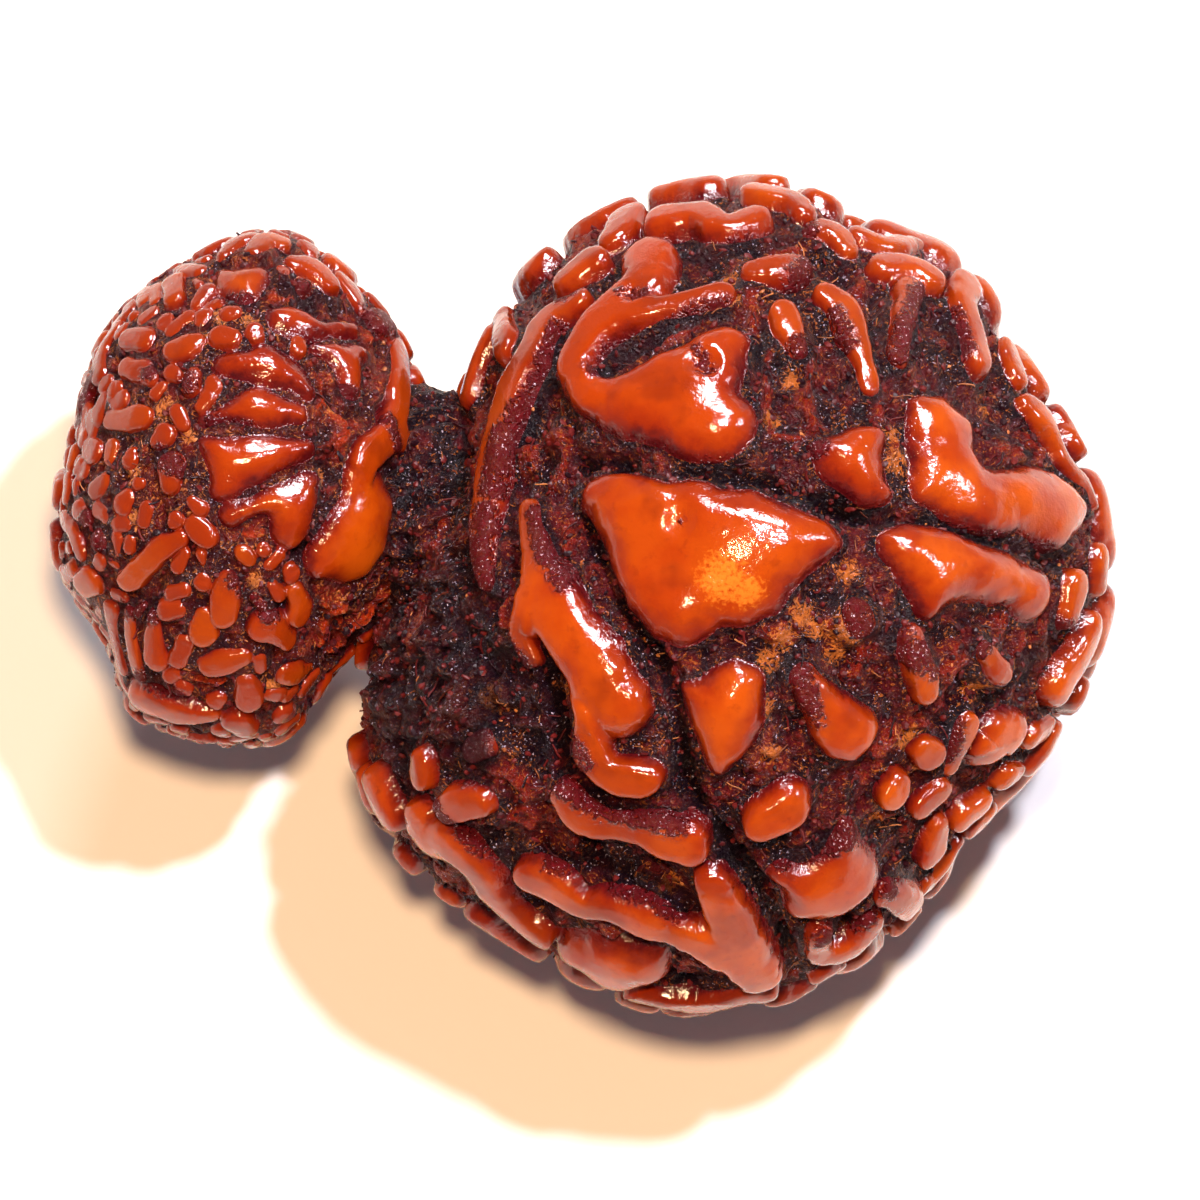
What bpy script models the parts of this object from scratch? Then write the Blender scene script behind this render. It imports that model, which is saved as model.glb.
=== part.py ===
# A twin rudraksha seed: a large and a small seed that grew together as one woody piece, lying on a
# small flat spot. Each seed is a smooth shell, sunk everywhere but at its rounded lobes, so that the
# lobes stand up from a lower ground. A low rough neck joins the two.
#
# The lobes are laid out by hand on the face, the plane square to the way the seeds look: u runs right,
# v runs up, w runs out of the face. Lengths are millimetres, measured from the middle of the large seed.

import bmesh
import bpy
import numpy as np

MM = 0.001
NAME = "rudraksha_seed"

# Where the large seed's middle lies in the world, and how far the face leans back from straight up
LARGE_MIDDLE = np.array((5.0, -0.137, 10.15))
FACE_LEAN = np.radians(15.0)
FACE_TURN = np.array(((1, 0, 0), (0, np.cos(FACE_LEAN), np.sin(FACE_LEAN)),
                      (0, -np.sin(FACE_LEAN), np.cos(FACE_LEAN))))

# The shells: middle (u, v, w), outline as (degrees, radius), depth from middle to face, lobe height
LARGE_SHELL = {
    "middle": (-0.15, 0.0, 0.0),
    "outline": ((0, 11.15), (14, 11.35), (30, 11.2), (43, 11.4), (56, 12.3), (72, 12.25), (86, 12.8),
                (110, 12.6), (130, 11.7), (146, 10.6), (160, 10.2), (174, 10.8), (187, 11.9), (203, 12.9),
                (217, 13.1), (235, 12.6), (262, 12.8), (291, 11.4), (314, 10.0), (335, 10.4)),
    "depth": 11.0,
    "lobe_height": 0.95,
}
SMALL_SHELL = {
    "middle": (-15.15, 3.6, -0.95),
    "outline": ((0, 5.8), (30, 6.2), (60, 7.0), (84, 7.75), (103, 7.1), (122, 6.65), (142, 6.1),
                (165, 5.6), (186, 5.9), (207, 6.4), (228, 6.6), (244, 7.9), (262, 8.2), (278, 8.0),
                (294, 6.6), (316, 6.05), (338, 6.05)),
    "depth": 6.4,
    "lobe_height": 0.62,
}
NECK_MIDDLE = (-9.6, 2.9, -0.4)
NECK_RADII = (2.1, 3.5, 3.2)
NECK_RIBS = {"count": 23, "height": 0.12}

# How a lobe's side rounds over, and the dip of the clefts that part the seed into its segments
SHOULDER = 0.6
CLEFT_DIP = 0.35
CLEFT_HALF_WIDTH = 0.45
CLEFT_ROOM = 0.2

# Worm-shaped lobes of the large seed: runs of (u, v, half width)
LARGE_RUNS = {
    "far left knob": [[(-8.3, 8.4, .45), (-8.6, 7.3, .4), (-8.7, 6.4, .35)],
                      [(-7.7, 8.7, .4), (-7.6, 7.7, .35)]],
    "left rim": [[(-5.2, 9.2, .3), (-6.3, 8.6, .4), (-6.9, 7.6, .45), (-7.5, 6.4, .5), (-8.0, 5.2, .45),
                  (-8.2, 4.0, .4), (-8.25, 3.0, .35), (-8.4, 1.5, .3), (-8.2, 0.6, .25)]],
    "upper left knob": [[(-5.6, 9.8, .45), (-4.9, 10.35, .5)]],
    "far top knob": [[(-3.75, 11.75, .5), (-4.2, 11.1, .4)]],
    "top left": [[(-2.6, 11.7, .65), (-1.6, 11.8, .55), (-0.8, 11.45, .45), (0.2, 11.75, .5)]],
    "crown": [[(0.2, 12.45, .45), (1.2, 12.2, .5), (1.6, 11.9, .4)]],
    "collar": [[(-3.1, 10.6, .85), (-3.3, 9.7, .8), (-4.2, 8.9, .75), (-4.9, 8.1, .6), (-5.4, 7.2, .5),
                (-5.1, 6.5, .5), (-4.4, 6.2, .6)],
               [(-4.2, 8.7, .5), (-3.0, 8.9, .35), (-2.0, 9.15, .3), (-1.0, 9.35, .28)]],
    "brow": [[(0.1, 10.1, .3), (0.9, 10.1, .45), (1.5, 10.15, .35)]],
    "knuckle": [[(2.0, 11.3, .35), (2.5, 11.2, .5), (2.9, 10.8, .35)]],
    "far ridge": [[(3.4, 11.15, .4), (4.2, 10.9, .35), (5.0, 11.0, .3)]],
    "shoulder": [[(4.1, 10.2, .45), (4.9, 10.15, .65), (5.4, 9.9, .5)],
                 [(4.9, 9.6, .45), (4.7, 8.8, .35), (4.6, 8.0, .3), (4.55, 7.5, .2)]],
    "small bean": [[(1.0, 8.8, .35), (1.25, 8.3, .4), (1.45, 7.7, .25)]],
    "long bean": [[(2.4, 9.3, .35), (2.9, 8.8, .4), (3.2, 8.0, .35), (3.5, 7.2, .3), (3.65, 6.6, .2)]],
    "right rim bean": [[(8.5, 6.0, .4), (9.0, 5.5, .5), (9.45, 4.8, .35), (9.9, 4.1, .25), (10.3, 3.6, .25),
                        (10.6, 3.0, .2)]],
    "pale right rim": [[(6.6, 9.7, .45), (6.6, 8.9, .4), (6.9, 8.1, .4), (7.0, 7.4, .48)]],
    "outer rim bean": [[(7.95, 7.7, .35), (8.2, 6.9, .35)]],
    "right knob": [[(10.0, 0.4, .45), (9.8, -0.4, .4)]],
    "lower right rim": [[(10.5, -0.9, .5), (10.1, -1.8, .55), (9.6, -2.6, .75)]],
    "outer right knob": [[(10.75, 1.3, .4), (10.8, 0.5, .35)]],
    "slit bean": [[(7.2, -1.5, .2), (7.6, -2.1, .35), (7.8, -2.3, .3)]],
    "maroon mound": [[(4.9, -1.2, .35), (5.2, -2.2, .5), (5.3, -2.8, .4)]],
    "low right knob": [[(8.7, -4.2, .4), (9.1, -4.0, .3)]],
    "left long": [[(-6.85, 2.8, .25), (-6.7, 1.8, .3), (-6.6, 0.9, .45), (-6.3, 0.1, .9), (-5.7, -0.9, .85),
                   (-5.0, -1.9, .95), (-4.6, -2.9, 1.0), (-4.1, -3.3, .95)],
                  [(-6.7, 0.0, .5), (-6.9, -0.6, .4), (-7.1, -1.2, .25), (-6.9, -1.9, .2)],
                  [(-5.0, -3.4, .5), (-5.0, -4.1, .35), (-4.9, -4.7, .4), (-4.4, -5.3, .45), (-3.6, -5.5, .5),
                   (-3.1, -5.5, .42)]],
    "oblong": [[(1.6, -2.4, .35), (2.1, -3.2, .6), (2.7, -3.9, .85), (3.1, -4.1, .85)]],
    "dark knob": [[(3.2, -0.4, .3), (3.3, -0.7, .25)]],
    "lower left rim": [[(-10.2, -6.7, .6), (-9.9, -7.3, .9), (-9.1, -7.6, .7), (-8.4, -8.2, .55),
                        (-7.9, -8.9, .5), (-7.2, -9.7, .5), (-6.4, -10.3, .5)]],
    "lit knob": [[(-8.7, -4.7, .35), (-8.3, -4.5, .3)]],
    "wavy": [[(-5.7, -6.1, .4), (-5.1, -6.7, .45), (-4.3, -6.95, .3), (-3.4, -7.0, .4), (-2.6, -7.3, .55),
              (-1.9, -7.5, .6)]],
    "big wave": [[(-6.7, -8.5, .6), (-6.0, -8.8, .65), (-5.1, -9.3, .45), (-4.2, -9.45, .5),
                  (-3.4, -9.8, .7), (-2.5, -10.1, .4), (-1.6, -10.4, .6), (-0.8, -10.9, .9)],
                 [(-1.2, -8.7, .45), (-0.9, -9.4, .65), (-0.5, -10.3, .8), (-0.2, -11.1, .85),
                  (0.3, -11.6, .6)]],
    "bottom rim": [[(-3.6, -12.1, .3), (-2.4, -12.3, .35), (-1.5, -12.4, .35), (-0.3, -12.15, .3),
                    (0.5, -12.1, .35)]],
    "oval knob": [[(0.3, -6.8, .6), (1.1, -6.4, .75)]],
    "pale knob": [[(2.1, -10.3, .45), (2.2, -10.9, .35), (3.1, -10.6, .6), (3.7, -10.0, .4)]],
    "lower rim knob": [[(2.2, -11.5, .4), (2.6, -11.4, .3)]],
    "tiny knob": [[(4.4, -5.9, .5), (4.5, -5.7, .4)]],
    "crescent": [[(5.3, -6.3, .4), (5.8, -5.9, .4)]],
    "rim bean": [[(5.8, -7.0, .35), (5.6, -7.7, .5)]],
    "far rim bean": [[(6.4, -7.7, .25), (6.1, -8.4, .35), (5.5, -8.8, .25)]],
    "drip knob": [[(4.2, -9.1, .25), (4.8, -9.3, .45), (5.0, -9.6, .35)]],
    "right ridge": [[(6.7, -3.9, .3), (6.5, -4.5, .3), (6.2, -5.2, .2)]],
}

# Broad lobes of the large seed: closed outlines of (u, v)
LARGE_PADS = {
    "tongue": [(-5.3, 6.8), (-4.5, 6.9), (-3.7, 7.3), (-3.0, 7.6), (-2.2, 7.9), (-1.7, 8.3), (-1.0, 8.45),
               (-0.5, 8.4), (-0.2, 8.0), (-0.4, 7.2), (-0.5, 6.6), (-0.2, 6.2), (0, 5.6), (-0.3, 5.0),
               (-1, 4.6), (-2, 4.6), (-2.7, 4.9), (-3.3, 5.1), (-4, 5.3), (-4.7, 5.5), (-5.0, 6.0),
               (-5.7, 6.6)],
    "central pad": [(2.0, 4.9), (3.0, 5.3), (3.7, 5.4), (4.1, 5.2), (4.0, 4.5), (4.2, 3.7), (4.4, 3.3),
                    (4.0, 3.1), (3.4, 3.2), (2.5, 3.8), (2.0, 4.6)],
    "bent lobe": [(5.1, 6.2), (5.9, 6.5), (6.3, 6.0), (6.9, 5.4), (7.0, 4.6), (7.4, 4.1), (8, 4.0),
                  (9, 4.1), (9.8, 3.7), (10.3, 3.0), (10.35, 2.4), (10, 1.9), (9.6, 1.7), (9.3, 1.8),
                  (8.6, 2.2), (8.0, 2.2), (7.3, 2.2), (6.5, 2.5), (5.7, 3.0), (5.2, 3.2), (5.1, 3.8),
                  (5.0, 5.0)],
    "saddle": [(4.2, 2.1), (5, 2.3), (6, 2.1), (7, 1.9), (8, 1.4), (9, 0.9), (9.3, 0.5), (9.3, 0.2),
               (9.1, -0.4), (8.5, -0.55), (8.1, -0.2), (7.5, 0), (6.5, 0.05), (6.0, -0.2), (5.6, -0.5),
               (5.3, -0.3), (4.8, 0.5), (4.3, 1.3), (4.1, 1.8)],
    "triangle": [(-5.2, 3.5), (-4.8, 3.75), (-4, 3.85), (-3, 3.75), (-2, 3.6), (-1, 3.4), (0, 3.3),
                 (1, 3.0), (2, 2.6), (2.6, 2.2), (2.75, 1.7), (2.4, 1.4), (1.7, 0.9), (1.2, 0.4), (1.0, 0),
                 (0.7, -0.4), (0.2, -0.6), (-0.3, -0.7), (-1, -0.7), (-1.5, -1.0), (-2.2, -1.25), (-3, -1.0),
                 (-3.6, -0.4), (-4, 0.3), (-4.4, 1.2), (-4.8, 2.2), (-5.3, 3.0)],
    "lower triangle": [(-2.1, -2.7), (-1.5, -2.6), (-0.9, -2.2), (-0.4, -2.05), (0.1, -2.2), (0.3, -2.6),
                       (0.25, -3.5), (0, -4.4), (-0.5, -5.0), (-1.0, -5.4), (-1.3, -5.1), (-1.6, -4.3),
                       (-1.9, -3.5), (-2.1, -3.0)],
    "left foot": [(-6.1, -10.5), (-5, -10.5), (-4.2, -10.6), (-3.5, -10.9), (-2.7, -11.0), (-2.6, -11.4),
                  (-2.8, -11.8), (-3.6, -12.0), (-4.4, -11.9), (-5.2, -11.3), (-5.8, -11.1)],
    "right foot": [(3.1, -7.1), (3.5, -7.8), (3.9, -8.1), (4.0, -8.6), (3.8, -9.0), (3.2, -9.5),
                   (2.6, -9.85), (1.8, -9.9), (1.2, -9.7), (0.9, -9.2), (0.6, -8.6), (0.9, -8.3),
                   (1.5, -8.4), (2.2, -8.1), (2.7, -7.5)],
}

# Hollows in the tops of lobes: (u, v, radius, dip)
LARGE_HOLLOWS = [(-3.5, 9.2, .4, .5), (-1.5, 7.15, .5, .5), (-2.1, 2.3, .9, .35), (-2.1, 2.3, .3, .4)]

# The clefts of the large seed that show on the face
LARGE_CLEFTS = [
    [(-5.5, 4.5), (-3, 4.3), (0, 4.0), (2, 3.2), (3.5, 2.8), (4.5, 2.6), (7, 2.2), (9, 1.6), (10, 1.2)],
    [(-5.2, 3.5), (-5, 1.5), (-4.2, 0), (-3.3, -1.5), (-2.5, -2.5), (-2.4, -4), (-2.2, -6), (-1.2, -7.5),
     (0.2, -9), (0.8, -10.5), (1.2, -11.5)],
]

# Worm-shaped lobes of the small seed
SMALL_RUNS = {
    "back leaf": [[(-15.8, 10.6, .3), (-15.4, 10.95, .35), (-15.0, 11.1, .3)]],
    "top leaf": [[(-14.9, 10.7, .3), (-14.5, 11.0, .38), (-14.0, 10.95, .32)]],
    "right top": [[(-13.5, 10.25, .42), (-13.0, 10.1, .55), (-12.6, 9.75, .42)]],
    "right rim": [[(-12.1, 9.85, .25), (-11.75, 9.4, .28), (-11.5, 8.95, .22)]],
    "gritty knob": [[(-11.0, 8.5, .5), (-10.8, 8.45, .5)]],
    "right ridge": [[(-10.35, 8.0, .3), (-10.3, 7.2, .35), (-10.3, 6.3, .4), (-10.5, 5.5, .5),
                     (-10.7, 4.9, .55), (-11.3, 4.2, .55), (-11.3, 3.4, .55), (-11.2, 2.7, .6)],
                    [(-10.4, 5.0, .45), (-9.95, 4.6, .25), (-9.8, 3.9, .2), (-9.75, 2.9, .15)]],
    "left knob pair": [[(-17.35, 9.75, .38), (-17.3, 9.3, .35)]],
    "far left top": [[(-17.2, 10.15, .25), (-16.6, 10.1, .3)]],
    "little knobs": [[(-18.3, 9.65, .25), (-18.25, 9.2, .2)]],
    "little twin": [[(-17.95, 9.6, .17), (-17.95, 9.2, .15)]],
    "dome": [[(-18.8, 8.0, .36), (-18.3, 7.95, .36)]],
    "outer left rim": [[(-19.2, 8.3, .2), (-19.45, 7.9, .25), (-19.65, 7.4, .3), (-19.7, 6.9, .3)]],
    "slanted bean": [[(-18.8, 7.15, .3), (-18.35, 6.95, .3), (-18.05, 6.7, .2)]],
    "inner knob": [[(-17.3, 7.65, .3), (-16.9, 7.75, .36), (-16.65, 7.9, .25)]],
    "gritty bean": [[(-16.7, 6.85, .22), (-16.8, 6.45, .28)]],
    "side bean": [[(-19.4, 5.45, .15), (-19.0, 5.45, .22), (-18.55, 5.55, .32), (-18.3, 5.6, .28)]],
    "small left knob": [[(-19.3, 4.6, .2), (-19.35, 4.3, .22)]],
    "left rim knob": [[(-20.5, 4.45, .3), (-20.6, 4.15, .25)]],
    "left low knob": [[(-20.7, 3.6, .25), (-20.75, 3.1, .25)]],
    "left pale knob": [[(-20.8, 2.4, .22), (-20.35, 1.7, .28), (-20.25, 1.35, .2)]],
    "egg": [[(-19.8, 3.3, .26), (-19.5, 3.55, .28)]],
    "outer pale knob": [[(-20.7, 0.65, .3), (-20.5, 0.8, .25)]],
    "orange knob": [[(-20.15, 0.3, .38), (-19.9, 0.45, .4)]],
    "long bean": [[(-18.75, 0.4, .4), (-18.3, 0.9, .38), (-17.8, 1.35, .35), (-17.2, 1.7, .22)]],
    "red mound": [[(-17.4, 4.0, .4), (-17.4, 3.4, .35)]],
    "seed knob": [[(-15.1, 1.25, .2), (-14.95, 1.1, .18)]],
    "upright bean": [[(-15.65, 0.4, .33), (-15.7, -0.1, .42), (-15.75, -0.6, .38)]],
    "low knob": [[(-16.4, -0.6, .2), (-16.4, -1.15, .36)]],
    "level bean": [[(-16.2, -2.2, .3), (-15.7, -2.05, .38), (-15.2, -1.95, .3)]],
    "twin drop": [[(-14.5, -0.95, .45), (-14.2, -1.0, .45), (-13.8, -1.4, .3)]],
    "drop": [[(-13.5, 0.05, .3), (-13.4, -0.35, .42), (-13.5, -0.65, .36)]],
    "lower right knob": [[(-13.85, -2.4, .28), (-13.45, -2.4, .38), (-13.1, -2.25, .2)]],
    "first finger": [[(-18.7, -0.6, .2), (-18.7, -1.2, .26), (-18.55, -1.9, .26), (-18.4, -2.4, .18)]],
    "second finger": [[(-18.0, -0.7, .18), (-17.95, -1.4, .3), (-17.9, -1.95, .38)]],
    "pale rim": [[(-19.3, -0.5, .25), (-19.2, -1.2, .28), (-19.0, -2.1, .3)]],
    "left heel": [[(-18.2, -3.25, .6), (-17.5, -3.45, .65), (-16.8, -3.6, .5), (-16.3, -3.65, .3)]],
    "right heel": [[(-15.3, -3.9, .45), (-15.1, -4.1, .4)]],
}

# Broad lobes of the small seed
SMALL_PADS = {
    "top pad": [(-16.0, 10.25), (-15.5, 10.28), (-15, 10.3), (-14.5, 10.25), (-14.35, 10.0), (-14.4, 9.8),
                (-14.7, 9.4), (-15.1, 9.2), (-15.6, 9.4), (-16, 9.8)],
    "wedge": [(-12.95, 7.95), (-12.2, 7.98), (-11.5, 7.95), (-11.2, 7.8), (-11.15, 7.5), (-11.3, 7.2),
              (-11.4, 6.6), (-11.5, 6.2), (-11.9, 6.3), (-12.1, 6.8), (-12.3, 7.2), (-12.7, 7.6)],
    "brow": [(-14.3, 8.95), (-13.8, 9.05), (-13.4, 9.0), (-13, 8.8), (-12.6, 8.65), (-12, 8.7), (-11.6, 8.55),
             (-11.5, 8.2), (-12, 8.15), (-12.8, 8.1), (-13.3, 8.15), (-13.8, 8.3), (-14.2, 8.5)],
    "first petal": [(-16, 7.4), (-15.6, 7.55), (-15, 7.6), (-14.4, 7.8), (-14, 7.6), (-13.5, 7.25),
                    (-13.1, 6.9), (-12.85, 6.4), (-13, 6.15), (-13.4, 6.4), (-13.9, 6.7), (-14.4, 6.95),
                    (-15, 7.05), (-16, 7.15)],
    "second petal": [(-16.4, 5.55), (-15.8, 5.85), (-15.3, 6.2), (-15, 6.42), (-14.6, 6.4), (-14.2, 6.25),
                     (-13.6, 6.15), (-13.2, 5.9), (-13.05, 5.6), (-13.2, 5.35), (-13.8, 5.35),
                     (-14.6, 5.4), (-15.5, 5.45), (-16.4, 5.4)],
    "third petal": [(-16.45, 4.85), (-16, 4.95), (-15, 4.9), (-14, 4.85), (-13.2, 4.85), (-12.95, 4.7),
                    (-13.1, 4.4), (-13.8, 4.1), (-14.3, 3.8), (-15, 3.4), (-15.6, 3.1), (-16.1, 3.1),
                    (-16.15, 3.6), (-16.3, 4.2), (-16.5, 4.6)],
    "fourth petal": [(-12.8, 3.6), (-13.3, 3.7), (-13.8, 3.45), (-14.3, 3.15), (-14.9, 2.85), (-15.6, 2.7),
                     (-15.8, 2.4), (-15.5, 2.2), (-15, 2.4), (-14.4, 2.5), (-14.3, 2.1), (-14.2, 1.7),
                     (-13.9, 1.5), (-13.5, 1.5), (-13.1, 1.9), (-12.9, 2.5), (-12.75, 3.0)],
    "ridge foot": [(-11.8, 3.9), (-11.85, 3.3), (-12.1, 2.6), (-12.5, 2.0), (-12.9, 1.3), (-13.05, 0.8),
                   (-12.9, 0.45), (-12.5, 0.35), (-12, 0.3), (-11.5, 0.35), (-11.15, 0.6), (-10.75, 1.2),
                   (-10.5, 2.0), (-10.4, 2.8), (-10.6, 3.4), (-10.85, 3.9)],
}
SMALL_HOLLOWS = [(-10.4, 3.8, .3, .4)]
SMALL_CLEFTS = [[(-12.5, 6.2), (-12.6, 5.2), (-12.5, 4.4), (-12.3, 3.3), (-12.6, 2.2), (-13.2, 1.3)]]

# The lobes that the large seed rests on: runs of (x, y, half width) from its middle, seen from above
REST_RUNS = [[(-4.2, 0.1, 1.0), (-2.6, 0.5, 1.1), (-1.1, 0.6, 0.9)], [(-4.0, -2.1, 0.8), (-2.4, -2.9, 0.85)],
             [(-4.0, 2.6, 0.9), (-2.4, 3.2, 0.8)], [(-0.2, 3.5, 0.8), (1.4, 2.7, 0.8)],
             [(-0.2, -2.2, 0.8), (1.7, -2.0, 0.7)], [(1.0, 0.4, 0.6), (2.8, 0.4, 0.75)]]

# Where the segments of each seed meet, and the turns of the clefts round it that the face doesn't show
LARGE_MOUTH = (-5.8, 4.2)
SMALL_MOUTH = (-12.7, 5.25)
LARGE_CLEFT_TURNS = (150, 215, 285)
SMALL_CLEFT_TURNS = (40, 150, 215, 285)

# The lobes beyond the face follow a rule: worms of random length and bend that keep clear of each other.
# They reach up to a height over the middle, and in open zones (low u, high u, low v, high v) to another.
# They come in passes from broad to slim: half width and number of steps, each from the first value to the
# second, and tries.
LARGE_WORMS = {"gap": 0.3, "below": 0.8, "seed": 41, "step": 0.5, "zone_below": 8.0,
               "zones": [(-12, -7.5, -6.6, 0.3), (4.6, 9.5, -9, -2.6)],
               "passes": [((0.8, 1.15), (2, 7), 160), ((0.5, 0.72), (4, 13), 900), ((0.38, 0.5), (3, 8), 1500)]}
SMALL_WORMS = {"gap": 0.2, "below": 0.5, "seed": 77, "step": 0.32, "zone_below": 0.5, "zones": [],
               "passes": [((0.5, 0.75), (2, 6), 90), ((0.32, 0.45), (4, 11), 600), ((0.24, 0.3), (3, 7), 900)]}

LARGE_FORM = {"runs": LARGE_RUNS, "pads": LARGE_PADS, "rest_runs": REST_RUNS, "hollows": LARGE_HOLLOWS,
              "clefts": LARGE_CLEFTS, "mouth": LARGE_MOUTH, "cleft_turns": LARGE_CLEFT_TURNS,
              "worms": LARGE_WORMS}
SMALL_FORM = {"runs": SMALL_RUNS, "pads": SMALL_PADS, "rest_runs": [], "hollows": SMALL_HOLLOWS,
              "clefts": SMALL_CLEFTS, "mouth": SMALL_MOUTH, "cleft_turns": SMALL_CLEFT_TURNS,
              "worms": SMALL_WORMS}

# How finely the shells are drawn before they are thinned, and what the thinning leaves
LARGE_ROUNDS = 7
SMALL_ROUNDS = 6
NECK_ROUNDS = 5
LARGE_FACES = 7500
SMALL_FACES = 3400
NECK_FACES = 350


def outline_radius(shell, angle):
    """The outline's radius at an angle, on a closed smooth curve through its named radii."""
    turn = 2 * np.pi
    x = np.radians([degrees for degrees, radius in shell["outline"]])
    y = np.array([radius for degrees, radius in shell["outline"]])
    x = np.concatenate((x[-2:] - turn, x, x[:2] + turn))
    y = np.concatenate((y[-2:], y, y[:2]))
    slope = np.zeros(len(x))
    slope[1:-1] = (y[2:] - y[:-2]) / (x[2:] - x[:-2])
    angle = np.mod(angle, turn)
    i = np.clip(np.searchsorted(x, angle, side="right") - 1, 1, len(x) - 3)
    width = x[i + 1] - x[i]
    t = (angle - x[i]) / width
    rise = y[i] * (1 + 2 * t) * (1 - t) ** 2 + y[i + 1] * t * t * (3 - 2 * t)
    return rise + width * (slope[i] * t * (1 - t) ** 2 - slope[i + 1] * t * t * (1 - t))


def shell_radius(shell, ways):
    """The shell's radius along unit directions (a, b, c) from its middle."""
    rim = outline_radius(shell, np.arctan2(ways[:, 1], ways[:, 0]))
    flat = ways[:, 0] ** 2 + ways[:, 1] ** 2
    return 1 / np.sqrt(flat / rim ** 2 + (ways[:, 2] / shell["depth"]) ** 2)


def on_shell(shell, u, v):
    """The point of the shell that the face shows at (u, v), measured from the shell's middle."""
    a = u - shell["middle"][0]
    b = v - shell["middle"][1]
    reach = np.hypot(a, b) / float(outline_radius(shell, np.arctan2(b, a)))
    inside = min(reach, 0.99) / max(reach, 1e-9)
    return np.array((a * inside, b * inside, shell["depth"] * np.sqrt(1 - min(reach, 0.99) ** 2)))


def unit(vectors):
    return vectors / np.linalg.norm(vectors, axis=-1, keepdims=True)


def run_lobe(shell, runs):
    """A lobe of tapering runs: segments from start to end, with a half width at each end."""
    segments = []
    for run in runs:
        points = [(*on_shell(shell, u, v), half_width) for u, v, half_width in run]
        segments += [(*start, *end) for start, end in zip(points, points[1:])]
    segments = np.array(segments)
    return {"start": segments[:, 0:3], "end": segments[:, 4:7], "width": segments[:, (3, 7)], "pad": None}


def pad_lobe(shell, outline):
    """A broad lobe inside a closed outline."""
    points = np.array([on_shell(shell, u, v) for u, v in outline])
    return {"start": points, "end": np.roll(points, -1, axis=0), "width": np.zeros((len(points), 2)),
            "pad": points}


def inside_outline(points, outline):
    """Which points lie inside a closed outline, as the face shows them."""
    inside = np.zeros(len(points), bool)
    for start, end in zip(outline, np.roll(outline, -1, axis=0)):
        spans = (start[1] > points[:, 1]) != (end[1] > points[:, 1])
        drop = end[1] - start[1]
        crossing = start[0] + (points[:, 1] - start[1]) * (end[0] - start[0]) / (drop if drop else 1e-9)
        inside ^= spans & (points[:, 0] < crossing)
    return inside & (points[:, 2] > outline[:, 2].min() - 2)


def edge_distance(lobe, points):
    """How far inside a lobe's edge each point lies, below zero outside, and the lobe's shoulder there."""
    best = np.full(len(points), -np.inf)
    shoulder = np.full(len(points), SHOULDER)
    for start, end, (near, far) in zip(lobe["start"], lobe["end"], lobe["width"]):
        along = end - start
        t = np.clip((points - start) @ along / max(along @ along, 1e-9), 0, 1)
        half_width = near + (far - near) * t
        depth = half_width - np.linalg.norm(points - start - t[:, None] * along, axis=1)
        closer = depth > best
        best[closer] = depth[closer]
        if lobe["pad"] is None:
            shoulder[closer] = np.maximum(half_width, 0.1)[closer]
    if lobe["pad"] is not None:
        best = np.where(inside_outline(points, lobe["pad"]), -best, best)
    return best, shoulder


def rise_of(depth, shoulder):
    """A lobe's height from 0 at its edge to 1 on top, round at the shoulder."""
    t = np.clip(depth / shoulder, 0, 1)
    return np.sqrt(1 - (1 - t) ** 2) * np.minimum(1, 0.55 + 0.45 * shoulder / 0.5)


def cleft_paths(shell, face_clefts, mouth, turns):
    """The clefts as paths on the shell: those of the face, and arcs from the mouth round to the far end."""
    paths = [np.array([on_shell(shell, u, v) for u, v in cleft]) for cleft in face_clefts]
    pole = unit(on_shell(shell, *mouth))
    side = unit(np.cross(pole, (0, 0, 1)))
    up = np.cross(side, pole)
    for turn in np.radians(turns):
        out = np.cos(turn) * side + np.sin(turn) * up
        arc = np.radians(np.arange(25, 176, 10))[:, None]
        ways = np.cos(arc) * pole + np.sin(arc) * out
        paths.append(ways * shell_radius(shell, ways)[:, None])
    return paths


def path_distance(path, points):
    nearest = np.full(len(points), np.inf)
    for start, end in zip(path, path[1:]):
        along = end - start
        t = np.clip((points - start) @ along / (along @ along), 0, 1)
        nearest = np.minimum(nearest, np.linalg.norm(points - start - t[:, None] * along, axis=1))
    return nearest


def spots_of(lobes, clefts, rule):
    """Round spots (a, b, c, half width) that stand for what a new lobe has to keep clear of."""
    spots = [(*point, 0.0) for lobe in lobes if lobe["pad"] is not None for point in lobe["pad"]]
    for lobe in lobes:
        for start, end, width in zip(lobe["start"], lobe["end"], lobe["width"]):
            for t in (0, 0.33, 0.67, 1):
                spots.append((*(start + (end - start) * t), width[0] + (width[1] - width[0]) * t))
    for path in clefts:
        for start, end in zip(path, path[1:]):
            spots += [(*(start + (end - start) * t), CLEFT_ROOM) for t in (0, 0.5) if start[2] < rule["below"]]
    return np.array(spots)


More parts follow.
